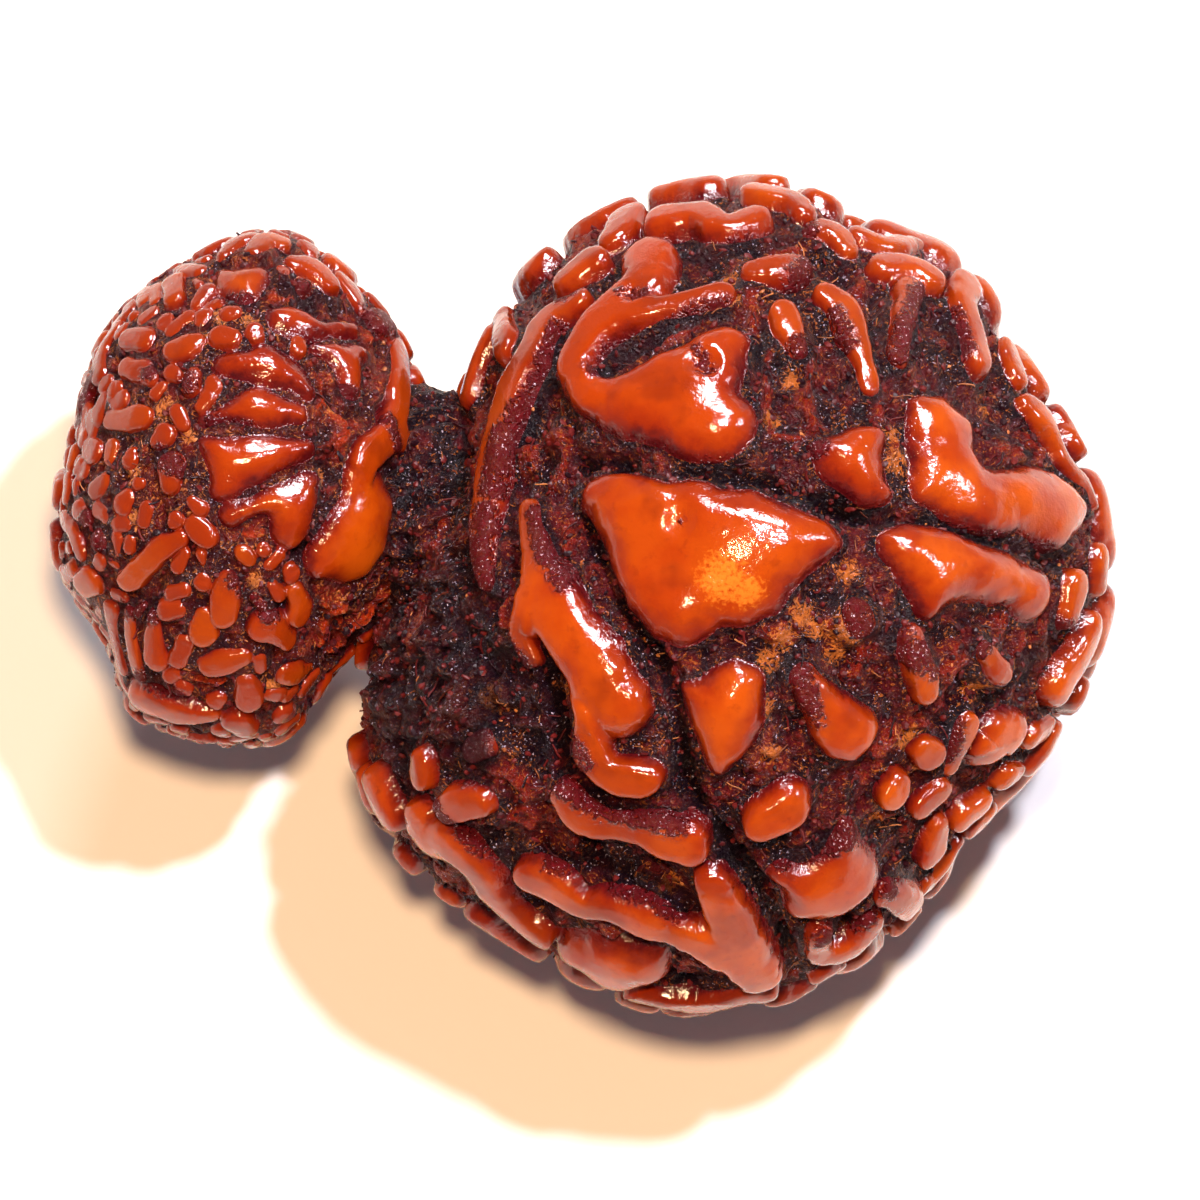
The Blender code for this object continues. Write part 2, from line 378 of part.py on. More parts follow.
def grow_worms(shell, lobes, clefts, rule):
    """Worm lobes over what the face doesn't show, each clear of the clefts and of every lobe before it."""
    draw = np.random.default_rng(rule["seed"])
    spots = spots_of(lobes, clefts, rule)

    def to_shell(point):
        way = unit(point)
        return way * shell_radius(shell, way[None])[0]

    def room(point):
        return (np.linalg.norm(spots[:, :3] - point, axis=1) - spots[:, 3]).min() - rule["gap"]

    def beyond_face(point):
        u, v = point[:2] + shell["middle"][:2]
        in_zone = any(low <= u <= high and bottom <= v <= top for low, high, bottom, top in rule["zones"])
        return point[2] < (rule["zone_below"] if in_zone else rule["below"])

    worms = []
    for widths, steps, tries in rule["passes"]:
        for _ in range(tries):
            point = to_shell(draw.normal(size=3))
            heading = draw.normal(size=3)
            bend = draw.normal(scale=0.3)
            wanted = draw.uniform(*widths)
            length = draw.integers(*steps)
            if not beyond_face(point) or room(point) < widths[0]:
                continue
            run = []
            for i in range(length):
                width = min(wanted * (0.78 + 0.22 * np.sin(np.pi * (i + 0.5) / length)), room(point))
                if not beyond_face(point) or width < 0.75 * widths[0]:
                    break
                run.append((*point, width))
                out = unit(point)
                heading = unit(heading - out * (heading @ out) + bend * np.cross(out, heading))
                point = to_shell(point + heading * rule["step"])
            if len(run) > 1:
                run = np.array(run)
                spots = np.concatenate((spots, run))
                worms.append({"start": run[:-1, :3], "end": run[1:, :3],
                              "width": np.stack((run[:-1, 3], run[1:, 3]), axis=1), "pad": None})
    return worms


def relief(shell, lobes, clefts, hollows, ways):
    """The seed's radius along unit directions: its shell, sunk by the lobe height but at the lobes."""
    radius = shell_radius(shell, ways)
    top = ways * radius[:, None]
    rise = np.zeros(len(ways))
    for lobe in lobes:
        ends = np.concatenate((lobe["start"], lobe["end"]))
        middle = (ends.min(axis=0) + ends.max(axis=0)) / 2
        reach = np.linalg.norm(ends - middle, axis=1).max() + lobe["width"].max()
        near = np.nonzero(np.linalg.norm(top - middle, axis=1) < reach)[0]
        rise[near] = np.maximum(rise[near], rise_of(*edge_distance(lobe, top[near])))
    for u, v, size, dip in hollows:
        away = np.linalg.norm(top - on_shell(shell, u, v), axis=1) / size
        rise -= dip * np.clip(1 - away ** 2, 0, 1) ** 2
    for path in clefts:
        near = np.clip(1 - (path_distance(path, top) / CLEFT_HALF_WIDTH) ** 2, 0, 1)
        rise -= CLEFT_DIP * near * (rise < 0.05)
    return radius - shell["lobe_height"] * (1 - rise)


def rest_lobes(shell, runs):
    """Lobes on the underside, laid out as (x, y, half width) from the shell's middle."""
    lobes = []
    for run in runs:
        ways = unit(np.array([(x, y, -shell["depth"]) for x, y, half_width in run]) @ FACE_TURN.T)
        points = np.column_stack((ways * shell_radius(shell, ways)[:, None], [point[2] for point in run]))
        lobes.append({"start": points[:-1, :3], "end": points[1:, :3],
                      "width": np.stack((points[:-1, 3], points[1:, 3]), axis=1), "pad": None})
    return lobes


def seed_lobes(shell, runs, pads, rest_runs, clefts, worm_rule):
    lobes = [run_lobe(shell, run) for run in runs.values()] + [pad_lobe(shell, pad) for pad in pads.values()]
    lobes += rest_lobes(shell, rest_runs)
    return lobes + grow_worms(shell, lobes, clefts, worm_rule)


def face_to_world(points):
    """Points (u, v, w) of the face, in millimetres, as world points in metres."""
    return (points @ FACE_TURN + LARGE_MIDDLE) * MM


def ball(name, collection, rounds, radius_along, middle):
    """A ball whose points are moved out or in to the radius that a function gives along each direction."""
    cage = bmesh.new()
    bmesh.ops.create_icosphere(cage, subdivisions=rounds, radius=1.0)
    mesh = bpy.data.meshes.new(name)
    cage.to_mesh(mesh)
    cage.free()
    ways = np.empty(len(mesh.vertices) * 3)
    mesh.vertices.foreach_get("co", ways)
    ways = unit(ways.reshape(-1, 3))
    points = face_to_world(ways * radius_along(ways)[:, None] + np.array(middle))
    mesh.vertices.foreach_set("co", points.ravel())
    mesh.update()
    piece = bpy.data.objects.new(name, mesh)
    collection.objects.link(piece)
    return piece


def thin_out(piece, faces):
    """Fewer faces, kept where the surface bends most."""
    thinning = piece.modifiers.new("Thin out", "DECIMATE")
    thinning.ratio = faces / len(piece.data.polygons)
    apply_modifiers(piece)


def apply_modifiers(piece):
    evaluated = piece.evaluated_get(bpy.context.evaluated_depsgraph_get())
    mesh = bpy.data.meshes.new_from_object(evaluated)
    piece.modifiers.clear()
    piece.data = mesh


def seed(name, collection, shell, form, rounds, faces):
    clefts = cleft_paths(shell, form["clefts"], form["mouth"], form["cleft_turns"])
    lobes = seed_lobes(shell, form["runs"], form["pads"], form["rest_runs"], clefts, form["worms"])
    piece = ball(name, collection, rounds, lambda ways: relief(shell, lobes, clefts, form["hollows"], ways),
                 shell["middle"])
    thin_out(piece, faces)
    return piece


def neck(collection):
    radii = np.array(NECK_RADII)

    def ribbed(ways):
        ribs = np.sin(NECK_RIBS["count"] * np.arctan2(ways[:, 2], ways[:, 1]) + 9 * ways[:, 0])
        return 1 / np.linalg.norm(ways / radii, axis=1) + NECK_RIBS["height"] * ribs

    piece = ball("neck", collection, NECK_ROUNDS, ribbed, NECK_MIDDLE)
    thin_out(piece, NECK_FACES)
    return piece


def join(piece, others):
    """One closed body from pieces that grow into each other."""
    union = piece.modifiers.new("Grown together", "BOOLEAN")
    union.operation = "UNION"
    union.solver = "MANIFOLD"
    union.operand_type = "COLLECTION"
    union.collection = others
    apply_modifiers(piece)
    for other in list(others.objects):
        bpy.data.objects.remove(other)
    bpy.data.collections.remove(others)


def cut_resting_spot(piece):
    """The flat spot that the seed lies on: all below the ground plane is cut off and closed."""
    cage = bmesh.new()
    cage.from_mesh(piece.data)
    parts = cage.verts[:] + cage.edges[:] + cage.faces[:]
    cut = bmesh.ops.bisect_plane(cage, geom=parts, dist=1e-7, plane_co=(0, 0, 0), plane_no=(0, 0, -1),
                                 clear_outer=True)
    rim = [part for part in cut["geom_cut"] if isinstance(part, bmesh.types.BMEdge)]
    bmesh.ops.holes_fill(cage, edges=rim)
    bmesh.ops.triangulate(cage, faces=cage.faces[:])
    cage.to_mesh(piece.data)
    cage.free()


def woody_material():
    material = bpy.data.materials.new("orange brown wood")
    material.use_nodes = True
    surface = material.node_tree.nodes["Principled BSDF"]
    surface.inputs["Base Color"].default_value = (0.45, 0.07, 0.01, 1)
    surface.inputs["Roughness"].default_value = 0.3
    surface.inputs["Metallic"].default_value = 0.0
    return material


def main():
    for leftover in list(bpy.data.objects):
        bpy.data.objects.remove(leftover)
    collection = bpy.data.collections.new(NAME)
    bpy.context.scene.collection.children.link(collection)
    others = bpy.data.collections.new("grown on")
    bpy.context.scene.collection.children.link(others)

    twin = seed(NAME, collection, LARGE_SHELL, LARGE_FORM, LARGE_ROUNDS, LARGE_FACES)
    seed("small seed", others, SMALL_SHELL, SMALL_FORM, SMALL_ROUNDS, SMALL_FACES)
    neck(others)
    join(twin, others)
    cut_resting_spot(twin)
    twin.data.shade_smooth()
    twin.data.materials.append(woody_material())


main()
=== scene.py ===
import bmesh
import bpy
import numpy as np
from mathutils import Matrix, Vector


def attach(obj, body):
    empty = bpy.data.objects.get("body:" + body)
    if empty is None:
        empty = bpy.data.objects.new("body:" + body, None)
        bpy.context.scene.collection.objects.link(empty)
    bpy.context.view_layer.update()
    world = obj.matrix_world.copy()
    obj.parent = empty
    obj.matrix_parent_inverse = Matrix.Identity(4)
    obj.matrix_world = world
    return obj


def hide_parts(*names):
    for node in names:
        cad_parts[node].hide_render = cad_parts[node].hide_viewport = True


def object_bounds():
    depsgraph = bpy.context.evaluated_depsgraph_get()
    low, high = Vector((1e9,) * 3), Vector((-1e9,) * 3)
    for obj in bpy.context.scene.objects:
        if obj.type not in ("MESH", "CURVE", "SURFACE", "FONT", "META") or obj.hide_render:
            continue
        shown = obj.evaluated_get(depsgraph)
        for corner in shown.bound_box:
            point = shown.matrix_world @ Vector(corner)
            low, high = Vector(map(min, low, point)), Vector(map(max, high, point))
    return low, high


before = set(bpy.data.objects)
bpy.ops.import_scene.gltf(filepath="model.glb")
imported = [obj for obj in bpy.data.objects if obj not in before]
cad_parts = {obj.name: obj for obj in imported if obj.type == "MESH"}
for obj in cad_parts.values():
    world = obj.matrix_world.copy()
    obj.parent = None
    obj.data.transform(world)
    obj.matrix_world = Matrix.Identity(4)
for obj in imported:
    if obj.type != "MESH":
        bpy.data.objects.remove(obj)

# The looks of a twin rudraksha seed: glossy orange-brown lobes that stand up from a dark, rough, fibrous
# ground. The form follows the solid's own formula, drawn finer: each seed is a smooth shell, sunk
# everywhere but at its rounded lobes.
#
# The lobes are laid out on the face, the plane square to the way the seeds look: u runs right,
# v runs up, w runs out of the face. Lengths are millimetres, measured from the middle of the large seed.

CAD_LOW, CAD_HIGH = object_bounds()

MM = 0.001
NODE = "rudraksha_seed"

# Where the large seed's middle lies in the world, and how far the face leans back from straight up
LARGE_MIDDLE = np.array((5.0, -0.137, 10.15))
FACE_LEAN = np.radians(15.0)
FACE_TURN = np.array(((1, 0, 0), (0, np.cos(FACE_LEAN), np.sin(FACE_LEAN)),
                      (0, -np.sin(FACE_LEAN), np.cos(FACE_LEAN))))

# The shells: middle (u, v, w), outline as (degrees, radius), depth from middle to face, lobe height
LARGE_SHELL = {
    "middle": (-0.15, 0.0, 0.0),
    "outline": ((0, 11.15), (14, 11.35), (30, 11.2), (43, 11.4), (56, 12.3), (72, 12.25), (86, 12.8),
                (110, 12.6), (130, 11.7), (146, 10.6), (160, 10.2), (174, 10.8), (187, 11.9), (203, 12.9),
                (217, 13.1), (235, 12.6), (262, 12.8), (291, 11.4), (314, 10.0), (335, 10.4)),
    "depth": 11.0,
    "lobe_height": 0.95,
    "fuller": 0.15,
}
SMALL_SHELL = {
    "middle": (-15.15, 3.6, -0.95),
    "outline": ((0, 5.8), (30, 6.2), (60, 7.0), (84, 7.75), (103, 7.1), (122, 6.65), (142, 6.1),
                (165, 5.6), (186, 5.9), (207, 6.4), (228, 6.6), (244, 7.9), (262, 8.2), (278, 8.0),
                (294, 6.6), (316, 6.05), (338, 6.05)),
    "depth": 6.4,
    "lobe_height": 0.62,
    "fuller": 0.1,
}
NECK_MIDDLE = (-9.6, 2.9, -0.4)
NECK_RADII = (2.1, 3.5, 3.2)

# The ribs round the neck, and how much further down its colours put it than its place does: painted shade
# where it lies between the seeds
NECK_RIBS = {"count": 23, "height": 0.12, "twist": 9}
NECK_PAINTED_SHADE = 0.25

# The clefts that part each seed into its segments: their dip as a share of the lobe height, their cut into
# the ground in millimetres, their half width, the room that lobes leave them, how uneven they are, with
# (wavelength, seed), and the degrees from the mouth at which those off the face have their points
CLEFT_DIP = 0.35
CLEFT_CUT = 0.55
CLEFT_HALF_WIDTH = 0.45
CLEFT_ROOM = 0.2
CLEFT_UNEVEN = 0.6
CLEFT_NOISE = (1.3, 31)
CLEFT_ARC = range(25, 176, 10)

# Worm-shaped lobes of the large seed: runs of (u, v, half width)
LARGE_RUNS = {
    "far left knob": [[(-8.3, 8.4, .45), (-8.6, 7.3, .4), (-8.7, 6.4, .35)],
                      [(-7.7, 8.7, .4), (-7.6, 7.7, .35)]],
    "left rim": [[(-5.2, 9.2, .33), (-6.2, 8.5, .48), (-6.8, 7.5, .55), (-7.35, 6.4, .6), (-7.75, 5.2, .62),
                  (-7.95, 4.0, .55), (-8.1, 3.0, .45), (-8.3, 1.5, .38), (-8.2, 0.6, .3)]],
    "upper left knob": [[(-5.6, 9.8, .45), (-4.9, 10.35, .5)]],
    "far top knob": [[(-3.75, 11.75, .5), (-4.2, 11.1, .4)]],
    "top left": [[(-2.6, 11.7, .65), (-1.6, 11.8, .55), (-0.8, 11.45, .45), (0.2, 11.75, .5)]],
    "crown": [[(0.2, 12.45, .45), (1.2, 12.2, .5), (1.6, 11.9, .4)]],
    "collar": [[(-3.1, 10.6, .85), (-3.3, 9.7, .8), (-4.2, 8.9, .75), (-4.9, 8.1, .6), (-5.4, 7.2, .5),
                (-5.1, 6.5, .5), (-4.4, 6.2, .6)],
               [(-4.2, 8.7, .5), (-3.0, 8.9, .35), (-2.0, 9.15, .3), (-1.0, 9.35, .28)]],
    "brow": [[(0.1, 10.1, .3), (0.9, 10.1, .45), (1.5, 10.15, .35)]],
    "knuckle": [[(2.0, 11.3, .35), (2.5, 11.2, .5), (2.9, 10.8, .35)]],
    "far ridge": [[(3.4, 11.15, .4), (4.2, 10.9, .35), (5.0, 11.0, .3)]],
    "shoulder": [[(4.1, 10.2, .45), (4.9, 10.15, .65), (5.4, 9.9, .5)],
                 [(4.9, 9.6, .45), (4.7, 8.8, .35), (4.6, 8.0, .3), (4.55, 7.5, .2)]],
    "small bean": [[(1.0, 8.8, .35), (1.25, 8.3, .4), (1.45, 7.7, .25)]],
    "long bean": [[(2.4, 9.3, .35), (2.9, 8.8, .4), (3.2, 8.0, .35), (3.5, 7.2, .3), (3.65, 6.6, .2)]],
    "right rim bean": [[(8.5, 6.0, .4), (9.0, 5.5, .5), (9.45, 4.8, .35), (9.9, 4.1, .25), (10.3, 3.6, .25),
                        (10.6, 3.0, .2)]],
    "pale right rim": [[(6.6, 9.7, .45), (6.6, 8.9, .4), (6.9, 8.1, .4), (7.0, 7.4, .48)]],
    "outer rim bean": [[(7.95, 7.7, .35), (8.2, 6.9, .35)]],
    "right knob": [[(10.0, 0.4, .45), (9.8, -0.4, .4)]],
    "lower right rim": [[(10.5, -0.9, .5), (10.1, -1.8, .55), (9.6, -2.6, .75)]],
    "outer right knob": [[(10.75, 1.3, .4), (10.8, 0.5, .35)]],
    "slit bean": [[(7.2, -1.5, .2), (7.6, -2.1, .35), (7.8, -2.3, .3)]],
    "maroon mound": [[(4.9, -1.2, .35), (5.2, -2.2, .5), (5.3, -2.8, .4)]],
    "low right knob": [[(8.7, -4.2, .4), (9.1, -4.0, .3)]],
    "left long": [[(-6.85, 2.8, .25), (-6.7, 1.8, .3), (-6.6, 0.9, .45), (-6.3, 0.1, .9), (-5.7, -0.9, .85),
                   (-5.0, -1.9, .95), (-4.6, -2.9, 1.0), (-4.1, -3.3, .95)],
                  [(-6.7, 0.0, .5), (-6.9, -0.6, .4), (-7.1, -1.2, .25), (-6.9, -1.9, .2)],
                  [(-5.0, -3.4, .5), (-5.0, -4.1, .35), (-4.9, -4.7, .4), (-4.4, -5.3, .45), (-3.6, -5.5, .5),
                   (-3.1, -5.5, .42)]],
    "oblong": [[(1.6, -2.4, .35), (2.1, -3.2, .6), (2.7, -3.9, .85), (3.1, -4.1, .85)]],
    "dark knob": [[(3.2, -0.4, .3), (3.3, -0.7, .25)]],
    "lower left rim": [[(-10.2, -6.7, .6), (-9.9, -7.3, .9), (-9.1, -7.6, .7), (-8.4, -8.2, .55),
                        (-7.9, -8.9, .5), (-7.2, -9.7, .5), (-6.4, -10.3, .5)]],
    "lit knob": [[(-8.7, -4.7, .35), (-8.3, -4.5, .3)]],
    "wavy": [[(-5.7, -6.1, .4), (-5.1, -6.7, .45), (-4.3, -6.95, .3), (-3.4, -7.0, .4), (-2.6, -7.3, .55),
              (-1.9, -7.5, .6)]],
    "big wave": [[(-6.7, -8.5, .6), (-6.0, -8.8, .65), (-5.1, -9.3, .45), (-4.2, -9.45, .5),
                  (-3.4, -9.8, .7), (-2.5, -10.1, .4), (-1.6, -10.4, .6), (-0.8, -10.9, .9)],
                 [(-1.2, -8.7, .45), (-0.9, -9.4, .65), (-0.5, -10.3, .8), (-0.2, -11.1, .85),
                  (0.3, -11.6, .6)]],
    "bottom rim": [[(-3.6, -12.1, .3), (-2.4, -12.3, .35), (-1.5, -12.4, .35), (-0.3, -12.15, .3),
                    (0.5, -12.1, .35)]],
    "oval knob": [[(0.3, -6.8, .6), (1.1, -6.4, .75)]],
    "pale knob": [[(2.1, -10.3, .45), (2.2, -10.9, .35), (3.1, -10.6, .6), (3.7, -10.0, .4)]],
    "lower rim knob": [[(2.2, -11.5, .4), (2.6, -11.4, .3)]],
    "tiny knob": [[(4.4, -5.9, .5), (4.5, -5.7, .4)]],
    "crescent": [[(5.3, -6.3, .4), (5.8, -5.9, .4)]],
    "rim bean": [[(5.8, -7.0, .35), (5.6, -7.7, .5)]],
    "far rim bean": [[(6.4, -7.7, .25), (6.1, -8.4, .35), (5.5, -8.8, .25)]],
    "drip knob": [[(4.2, -9.1, .25), (4.8, -9.3, .45), (5.0, -9.6, .35)]],
    "right ridge": [[(6.7, -3.9, .3), (6.5, -4.5, .3), (6.2, -5.2, .2)]],
}

# Broad lobes of the large seed: closed outlines of (u, v)
LARGE_PADS = {
    "tongue": [(-5.3, 6.8), (-4.5, 6.9), (-3.7, 7.3), (-3.0, 7.6), (-2.2, 7.9), (-1.7, 8.3), (-1.0, 8.45),
               (-0.5, 8.4), (-0.2, 8.0), (-0.4, 7.2), (-0.5, 6.6), (-0.2, 6.2), (0, 5.6), (-0.3, 5.0),
               (-1, 4.6), (-2, 4.6), (-2.7, 4.9), (-3.3, 5.1), (-4, 5.3), (-4.7, 5.5), (-5.0, 6.0),
               (-5.7, 6.6)],
    "central pad": [(2.0, 4.9), (3.0, 5.3), (3.7, 5.4), (4.1, 5.2), (4.0, 4.5), (4.2, 3.7), (4.4, 3.3),
                    (4.0, 3.1), (3.4, 3.2), (2.5, 3.8), (2.0, 4.6)],
    "bent lobe": [(5.1, 6.2), (5.9, 6.5), (6.3, 6.0), (6.9, 5.4), (7.0, 4.6), (7.4, 4.1), (8, 4.0),
                  (9, 4.1), (9.8, 3.7), (10.3, 3.0), (10.35, 2.4), (10, 1.9), (9.6, 1.7), (9.3, 1.8),
                  (8.6, 2.2), (8.0, 2.2), (7.3, 2.2), (6.5, 2.5), (5.7, 3.0), (5.2, 3.2), (5.1, 3.8),
                  (5.0, 5.0)],
    "saddle": [(4.2, 2.1), (5, 2.3), (6, 2.1), (7, 1.9), (8, 1.4), (9, 0.9), (9.3, 0.5), (9.3, 0.2),
               (9.1, -0.4), (8.5, -0.55), (8.1, -0.2), (7.5, 0), (6.5, 0.05), (6.0, -0.2), (5.6, -0.5),
               (5.3, -0.3), (4.8, 0.5), (4.3, 1.3), (4.1, 1.8)],
    "triangle": [(-5.2, 3.5), (-4.8, 3.75), (-4, 3.85), (-3, 3.75), (-2, 3.6), (-1, 3.4), (0, 3.3),
                 (1, 3.0), (2, 2.6), (2.6, 2.2), (2.75, 1.7), (2.4, 1.4), (1.7, 0.9), (1.2, 0.4), (1.0, 0),
                 (0.7, -0.4), (0.2, -0.6), (-0.3, -0.7), (-1, -0.7), (-1.5, -1.0), (-2.2, -1.25), (-3, -1.0),
                 (-3.6, -0.4), (-4, 0.3), (-4.4, 1.2), (-4.8, 2.2), (-5.3, 3.0)],
    "lower triangle": [(-2.1, -2.7), (-1.5, -2.6), (-0.9, -2.2), (-0.4, -2.05), (0.1, -2.2), (0.3, -2.6),
                       (0.25, -3.5), (0, -4.4), (-0.5, -5.0), (-1.0, -5.4), (-1.3, -5.1), (-1.6, -4.3),
                       (-1.9, -3.5), (-2.1, -3.0)],
    "left foot": [(-6.1, -10.5), (-5, -10.5), (-4.2, -10.6), (-3.5, -10.9), (-2.7, -11.0), (-2.6, -11.4),
                  (-2.8, -11.8), (-3.6, -12.0), (-4.4, -11.9), (-5.2, -11.3), (-5.8, -11.1)],
    "right foot": [(3.1, -7.1), (3.5, -7.8), (3.9, -8.1), (4.0, -8.6), (3.8, -9.0), (3.2, -9.5),
                   (2.6, -9.85), (1.8, -9.9), (1.2, -9.7), (0.9, -9.2), (0.6, -8.6), (0.9, -8.3),
                   (1.5, -8.4), (2.2, -8.1), (2.7, -7.5)],
}

# Hollows in the tops of lobes: (u, v, radius, dip)
LARGE_HOLLOWS = [(-3.6, 9.2, .55, .35), (-1.5, 7.15, .6, .4), (-2.15, 2.35, .7, .2), (-2.4, 1.3, 2.0, .28),
                 (-0.6, 0.6, 1.1, .1), (7.6, 3.2, 1.3, .1), (-2.8, 6.3, 1.4, .12)]

# The clefts of the large seed that show on the face
LARGE_CLEFTS = [
    [(-5.5, 4.5), (-3, 4.3), (0, 4.0), (2, 3.2), (3.5, 2.8), (4.5, 2.6), (7, 2.2), (9, 1.6), (10, 1.2)],
    [(-5.2, 3.5), (-5, 1.5), (-4.2, 0), (-3.3, -1.5), (-2.5, -2.5), (-2.4, -4), (-2.2, -6), (-1.2, -7.5),
     (0.2, -9), (0.8, -10.5), (1.2, -11.5)],
]

# Worm-shaped lobes of the small seed
SMALL_RUNS = {
    "back leaf": [[(-15.8, 10.6, .3), (-15.4, 10.95, .35), (-15.0, 11.1, .3)]],
    "top leaf": [[(-14.9, 10.7, .3), (-14.5, 11.0, .38), (-14.0, 10.95, .32)]],
    "right top": [[(-13.5, 10.25, .42), (-13.0, 10.1, .55), (-12.6, 9.75, .42)]],
    "right rim": [[(-12.1, 9.85, .25), (-11.75, 9.4, .28), (-11.5, 8.95, .22)]],
    "gritty knob": [[(-11.0, 8.5, .5), (-10.8, 8.45, .5)]],
    "right ridge": [[(-10.35, 8.0, .3), (-10.3, 7.2, .35), (-10.3, 6.3, .4), (-10.5, 5.5, .5),
                     (-10.7, 4.9, .55), (-11.3, 4.2, .55), (-11.3, 3.4, .55), (-11.2, 2.7, .6)],
                    [(-10.4, 5.0, .45), (-9.95, 4.6, .25), (-9.8, 3.9, .2), (-9.75, 2.9, .15)]],
    "left knob pair": [[(-17.35, 9.75, .38), (-17.3, 9.3, .35)]],
    "far left top": [[(-17.2, 10.15, .25), (-16.6, 10.1, .3)]],
    "little knobs": [[(-18.3, 9.65, .25), (-18.25, 9.2, .2)]],
    "little twin": [[(-17.95, 9.6, .17), (-17.95, 9.2, .15)]],
    "dome": [[(-18.8, 8.0, .36), (-18.3, 7.95, .36)]],
    "outer left rim": [[(-19.2, 8.3, .2), (-19.45, 7.9, .25), (-19.65, 7.4, .3), (-19.7, 6.9, .3)]],
    "slanted bean": [[(-18.8, 7.15, .3), (-18.35, 6.95, .3), (-18.05, 6.7, .2)]],
    "inner knob": [[(-17.3, 7.65, .3), (-16.9, 7.75, .36), (-16.65, 7.9, .25)]],
    "gritty bean": [[(-16.7, 6.85, .22), (-16.8, 6.45, .28)]],
    "side bean": [[(-19.4, 5.45, .15), (-19.0, 5.45, .22), (-18.55, 5.55, .32), (-18.3, 5.6, .28)]],
    "small left knob": [[(-19.3, 4.6, .2), (-19.35, 4.3, .22)]],
    "left rim knob": [[(-20.5, 4.45, .3), (-20.6, 4.15, .25)]],
    "left low knob": [[(-20.7, 3.6, .25), (-20.75, 3.1, .25)]],
    "left pale knob": [[(-20.8, 2.4, .22), (-20.35, 1.7, .28), (-20.25, 1.35, .2)]],
    "egg": [[(-19.8, 3.3, .26), (-19.5, 3.55, .28)]],
    "outer pale knob": [[(-20.7, 0.65, .3), (-20.5, 0.8, .25)]],
    "orange knob": [[(-20.15, 0.3, .38), (-19.9, 0.45, .4)]],
    "long bean": [[(-18.75, 0.4, .4), (-18.3, 0.9, .38), (-17.8, 1.35, .35), (-17.2, 1.7, .22)]],
    "red mound": [[(-17.4, 4.0, .4), (-17.4, 3.4, .35)]],
    "seed knob": [[(-15.1, 1.25, .2), (-14.95, 1.1, .18)]],
    "upright bean": [[(-15.65, 0.4, .33), (-15.7, -0.1, .42), (-15.75, -0.6, .38)]],
    "low knob": [[(-16.4, -0.6, .2), (-16.4, -1.15, .36)]],
    "level bean": [[(-16.2, -2.2, .3), (-15.7, -2.05, .38), (-15.2, -1.95, .3)]],
    "twin drop": [[(-14.5, -0.95, .45), (-14.2, -1.0, .45), (-13.8, -1.4, .3)]],
    "drop": [[(-13.5, 0.05, .3), (-13.4, -0.35, .42), (-13.5, -0.65, .36)]],
    "lower right knob": [[(-13.85, -2.4, .28), (-13.45, -2.4, .38), (-13.1, -2.25, .2)]],
    "first finger": [[(-18.7, -0.6, .2), (-18.7, -1.2, .26), (-18.55, -1.9, .26), (-18.4, -2.4, .18)]],
    "second finger": [[(-18.0, -0.7, .18), (-17.95, -1.4, .3), (-17.9, -1.95, .38)]],
    "pale rim": [[(-19.3, -0.5, .25), (-19.2, -1.2, .28), (-19.0, -2.1, .3)]],
    "left heel": [[(-18.2, -3.25, .6), (-17.5, -3.45, .65), (-16.8, -3.6, .5), (-16.3, -3.65, .3)]],
    "right heel": [[(-15.3, -3.9, .45), (-15.1, -4.1, .4)]],
}

